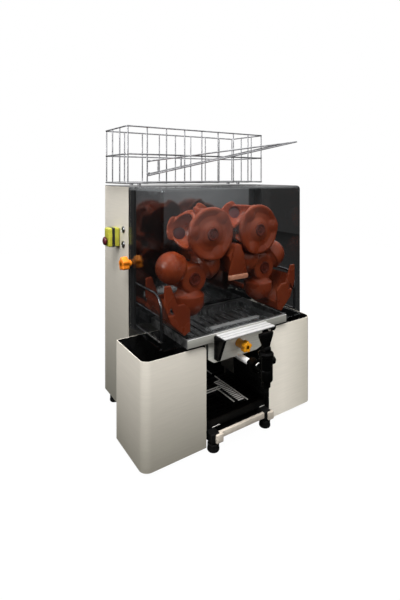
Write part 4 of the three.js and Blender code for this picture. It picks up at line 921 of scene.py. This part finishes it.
for side, foot_z, foot_deep in legs:
    x = bracket_low.x if side < 0 else bracket_high.x - leg
    block(bracket_shape, (x, bracket_low.y, foot_z), (x + leg, bracket_high.y, bracket_high.z))
    for corner in bracket_shape.verts:
        if corner.co.x * side > 0 and corner.co.z < foot_z + 0.001:
            corner.co.y = max(corner.co.y, bracket_high.y - foot_deep)
block(bracket_shape, (bracket_low.x + leg, bracket_high.y - 0.014, bracket_high.z - 0.002),
      (bracket_high.x - leg, bracket_high.y, bracket_high.z))
new_piece(bracket_shape, "folded_bracket", tap_black, "ledge_bracket")
tank_knob_shape = bmesh.new()
star_knob(tank_knob_shape, (0, -0.1275, boss_z), (0, -1, 0), radius=0.0137, length=0.014,
          boss=0.0098, boss_length=0.0265, stud_length=0.032)
amber_plastic = finish_of(
    "amber_knob_plastic", (0.98, 0.42, 0.016), (0.84, 0.32, 0.012), grain=80, roughness=0.3,
    relief=0.03)
new_piece(tank_knob_shape, "orange_tank_knob", amber_plastic, "tank_knob")

# Peel bins.
# Two open bins of folded sheet in the cabinet's champagne lacquer stand on steel shelves outside
# the tubes. Inside, and on the face of the wall beside the bay, they are painted black as painted
# shade. Their outer front edge is rounded, and so is the upper corner of their front wall beside
# the bay.

# Black for painted shade inside the bins and on their walls facing the bay.
bin_shade_black = finish_of("bin_shade_black", 0.008, 0.004, roughness=0.3, relief=0.04, specular=0.2)
# Painted shade: the left bin darkens towards the floor; the right bin is painted lighter overall
# and darkens towards its outer side.
bin_lacquers = {
    "left": champagne("left_bin_lacquer", 0.93, "Z", (0.4, 0.4, 0.38), 0.0, 0.215),
    "right": champagne("right_bin_lacquer", 1.2, "X", (0.74, 0.74, 0.72), 0.225, 0.145)}
bin_sheet, bin_corner, bin_notch, near = 0.0015, 0.02, 0.012, 1e-5
for name, side in sides:
    low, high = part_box(f"{name}_peel_bin")
    bin_shape = bmesh.new()
    block(bin_shape, low, high)
    outer_x = low.x if side < 0 else high.x
    inner_x = high.x if side < 0 else low.x
    edge_at = [line for line in bin_shape.edges
               if all(abs(corner.co.x - outer_x) < near and abs(corner.co.y - low.y) < near
                      for corner in line.verts)]
    round_off(bin_shape, edge_at, bin_corner, 12)
    lid = [face for face in bin_shape.faces if face.normal.z > 0.9]
    bmesh.ops.delete(bin_shape, geom=lid, context="FACES")
    bmesh.ops.recalc_face_normals(bin_shape, faces=bin_shape.faces)
    blank = loose(bin_shape, "blank")
    thicken(blank, bin_sheet)
    notch_x, notch_z = inner_x + side * bin_notch, high.z - bin_notch
    corner_tool = bmesh.new()
    block(corner_tool, (min(inner_x, notch_x), low.y - 0.01, notch_z),
          (max(inner_x, notch_x), low.y + 0.003, high.z + 0.01))
    for corner in corner_tool.verts:
        if abs(corner.co.x - inner_x) < near:
            corner.co.x -= side * 0.004
    round_tool = bmesh.new()
    bar(round_tool, (notch_x, low.y - 0.012, notch_z), (notch_x, low.y + 0.006, notch_z),
        bin_notch, 48)
    corner_cutter, round_cutter = loose(corner_tool, "corner"), loose(round_tool, "round")
    cut(corner_cutter, round_cutter)
    cut(blank, corner_cutter)
    bin_shape = baked(blank, corner_cutter, round_cutter)
    middle = Vector(((low.x + high.x) / 2, (low.y + high.y) / 2, 0))
    piece = new_piece(bin_shape, f"{name}_folded_bin", bin_lacquers[name], f"{name}_peel_bin",
                      crease=25)
    # Faces inside the bin, and the face of the wall that looks into the bay, get the black: painted
    # shade.
    piece.data.materials.append(bin_shade_black)
    for face in piece.data.polygons:
        inwards = (middle - face.center).dot(Vector((face.normal.x, face.normal.y, 0)))
        floor_up = face.normal.z > 0.9 and face.center.z < low.z + 0.01
        bay_side = face.normal.x * side < -0.9 and abs(face.center.x - inner_x) < near
        if floor_up or bay_side or (abs(face.normal.z) < 0.5 and inwards > 0):
            face.material_index = 1
dress(inner_steel, "left_bin_shelf", "right_bin_shelf")

# Basket and feed guide.
# The fruit basket is welded of chromed wire: three rings, uprights and a floor, on four short
# legs. A hairpin of the same wire, clipped to its front, guides oranges to the infeed.

basket_low, basket_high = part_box("basket")
wire_round, thin_round, inset, corner_gap = 0.002, 0.0017, 0.0012, 0.0028
west, east = basket_low.x + wire_round, basket_high.x - wire_round
south, north = basket_low.y + wire_round, basket_high.y - wire_round
rim_z, middle_z, floor_z = basket_high.z - wire_round, 0.6706, 0.6
basket_shape = bmesh.new()
for z in (rim_z, middle_z, floor_z):
    rod(basket_shape, bent_route([(0, south, z), (east, south, z), (east, north, z),
                                  (west, north, z), (west, south, z), (0, south, z)], 0.006, 6),
        wire_round)
bays_wide, bays_deep = 8, 3
for i in range(bays_wide + 1):
    x = west + i * (east - west) / bays_wide
    if i in (0, bays_wide):
        x += corner_gap * (1 if i == 0 else -1)
    for y in (south + inset, north - inset):
        rod(basket_shape, [(x, y, floor_z), (x, y, rim_z)], thin_round, 10)
    rod(basket_shape, [(x, south, floor_z - 0.001), (x, north, floor_z - 0.001)], thin_round, 10)
for i in range(1, bays_deep):
    y = south + i * (north - south) / bays_deep
    for x in (west + inset, east - inset):
        rod(basket_shape, [(x, y, floor_z), (x, y, rim_z)], thin_round, 10)
    rod(basket_shape, [(west, y, floor_z + 0.001), (east, y, floor_z + 0.001)], thin_round, 10)
for i in (1, bays_wide - 1):
    for k in (1, bays_deep - 1):
        x = west + i * (east - west) / bays_wide
        y = south + k * (north - south) / bays_deep
        turned(basket_shape, [(0, 0.5923), (0.0045, 0.5923), (0.005, 0.593), (0.005, 0.597),
                              (0.0035, 0.5995), (0, 0.5995)], (x, y, 0), (0, 0, 1), 20)
new_piece(basket_shape, "chromed_basket", chrome, "basket", crease=50)

guide_top, guide_low = Vector((-0.168, 0.0365, 0.653)), Vector((-0.168, 0.0365, 0.618))
guide_tip, clip_x, clip_gap = Vector((0.235, -0.0735, 0.712)), -0.16275, 0.0022
guide_shape = bmesh.new()
rod(guide_shape, [guide_top, guide_tip], wire_round)
rod(guide_shape, [guide_low, guide_tip], wire_round)
twin = Vector((0, 0.0035, 0.0035))
rod(guide_shape, [guide_low + twin, guide_low.lerp(guide_tip, 0.9) + twin], wire_round * 0.8)
for share in (0.063, 0.2034):
    rod(guide_shape, [guide_top.lerp(guide_tip, share), guide_low.lerp(guide_tip, share)],
        wire_round)
for place in (guide_top, guide_low + Vector((0, 0, 0.004))):
    clip_at = Vector((clip_x, place.y, place.z + 0.001))
    rod(guide_shape, [clip_at, (clip_x, south - clip_gap, clip_at.z)], 0.003)
new_piece(guide_shape, "hairpin_guide", chrome, "feed_guide", crease=50)

# Controls.
# A yellow moulded box with a black band carries the red stop mushroom on the left side. Two
# domed push-buttons in steel bezels sit in front of it.

yellow_plastic = finish_of(
    "stop_box_yellow", (0.4, 0.39, 0.04), (0.32, 0.31, 0.03), grain=70, roughness=0.35,
    relief=0.04)
band_black = finish_of("band_black", 0.013, 0.008, grain=90)
stop_low, stop_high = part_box("stop_box")
new_piece(block(bmesh.new(), stop_low, stop_high, 0.004, 4), "yellow_stop_box", yellow_plastic,
          "stop_box")
band_x, band_half, proud = (stop_low.x + stop_high.x) / 2 - 0.0025, 0.0058, 0.0005
new_piece(block(bmesh.new(), (band_x - band_half, stop_low.y - proud, stop_low.z - proud),
                (band_x + band_half, stop_high.y + proud, stop_high.z + proud), 0.0038, 4),
          "stop_box_band", band_black, node="stop_box")

red_plastic = finish_of(
    "stop_red", (0.085, 0.01, 0.018), (0.05, 0.007, 0.012), grain=70, roughness=0.25, relief=0.03)
button_low, button_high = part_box("stop_button")
stop_y, stop_z, stop_reach = 0.1265, 0.453, button_high.x - button_low.x
new_piece(turned(bmesh.new(), [(0, 0), (0.006, 0.0006), (0.0095, 0.0022), (0.011, 0.0044),
                               (0.0105, 0.006), (0.005, 0.006), (0.005, stop_reach),
                               (0, stop_reach)], (button_low.x, stop_y, stop_z), (1, 0, 0)),
          "red_mushroom", red_plastic, "stop_button")

green_plastic = finish_of(
    "start_green", (0.02, 0.03, 0.026), (0.01, 0.016, 0.014), grain=70, roughness=0.2,
    relief=0.03)
bezel_steel = finish_of("bezel_steel", 0.42, 0.28, grain=80, roughness=0.25, metal=1, relief=0.03)
side_x, button_y = -0.208, 0.0895
for name, material, z in (("start", green_plastic, 0.483), ("reset", band_black, 0.446)):
    cap = turned(bmesh.new(), [(0, 0), (0.003, 0.0003), (0.0052, 0.0014), (0.0062, 0.003),
                               (0.0062, 0.017), (0, 0.017)],
                 (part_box(f"{name}_button")[0].x, button_y, z), (1, 0, 0), 28)
    new_piece(cap, f"{name}_dome", material, f"{name}_button")
    bezel = turned(bmesh.new(), [(0.0066, 0), (0.0066, -0.0022), (0.0074, -0.0028),
                                 (0.0088, -0.0018), (0.0094, 0.0), (0.0066, 0)],
                   (side_x, button_y, z), (1, 0, 0), 28)
    new_piece(bezel, f"{name}_bezel", bezel_steel, node="left_side_panel")
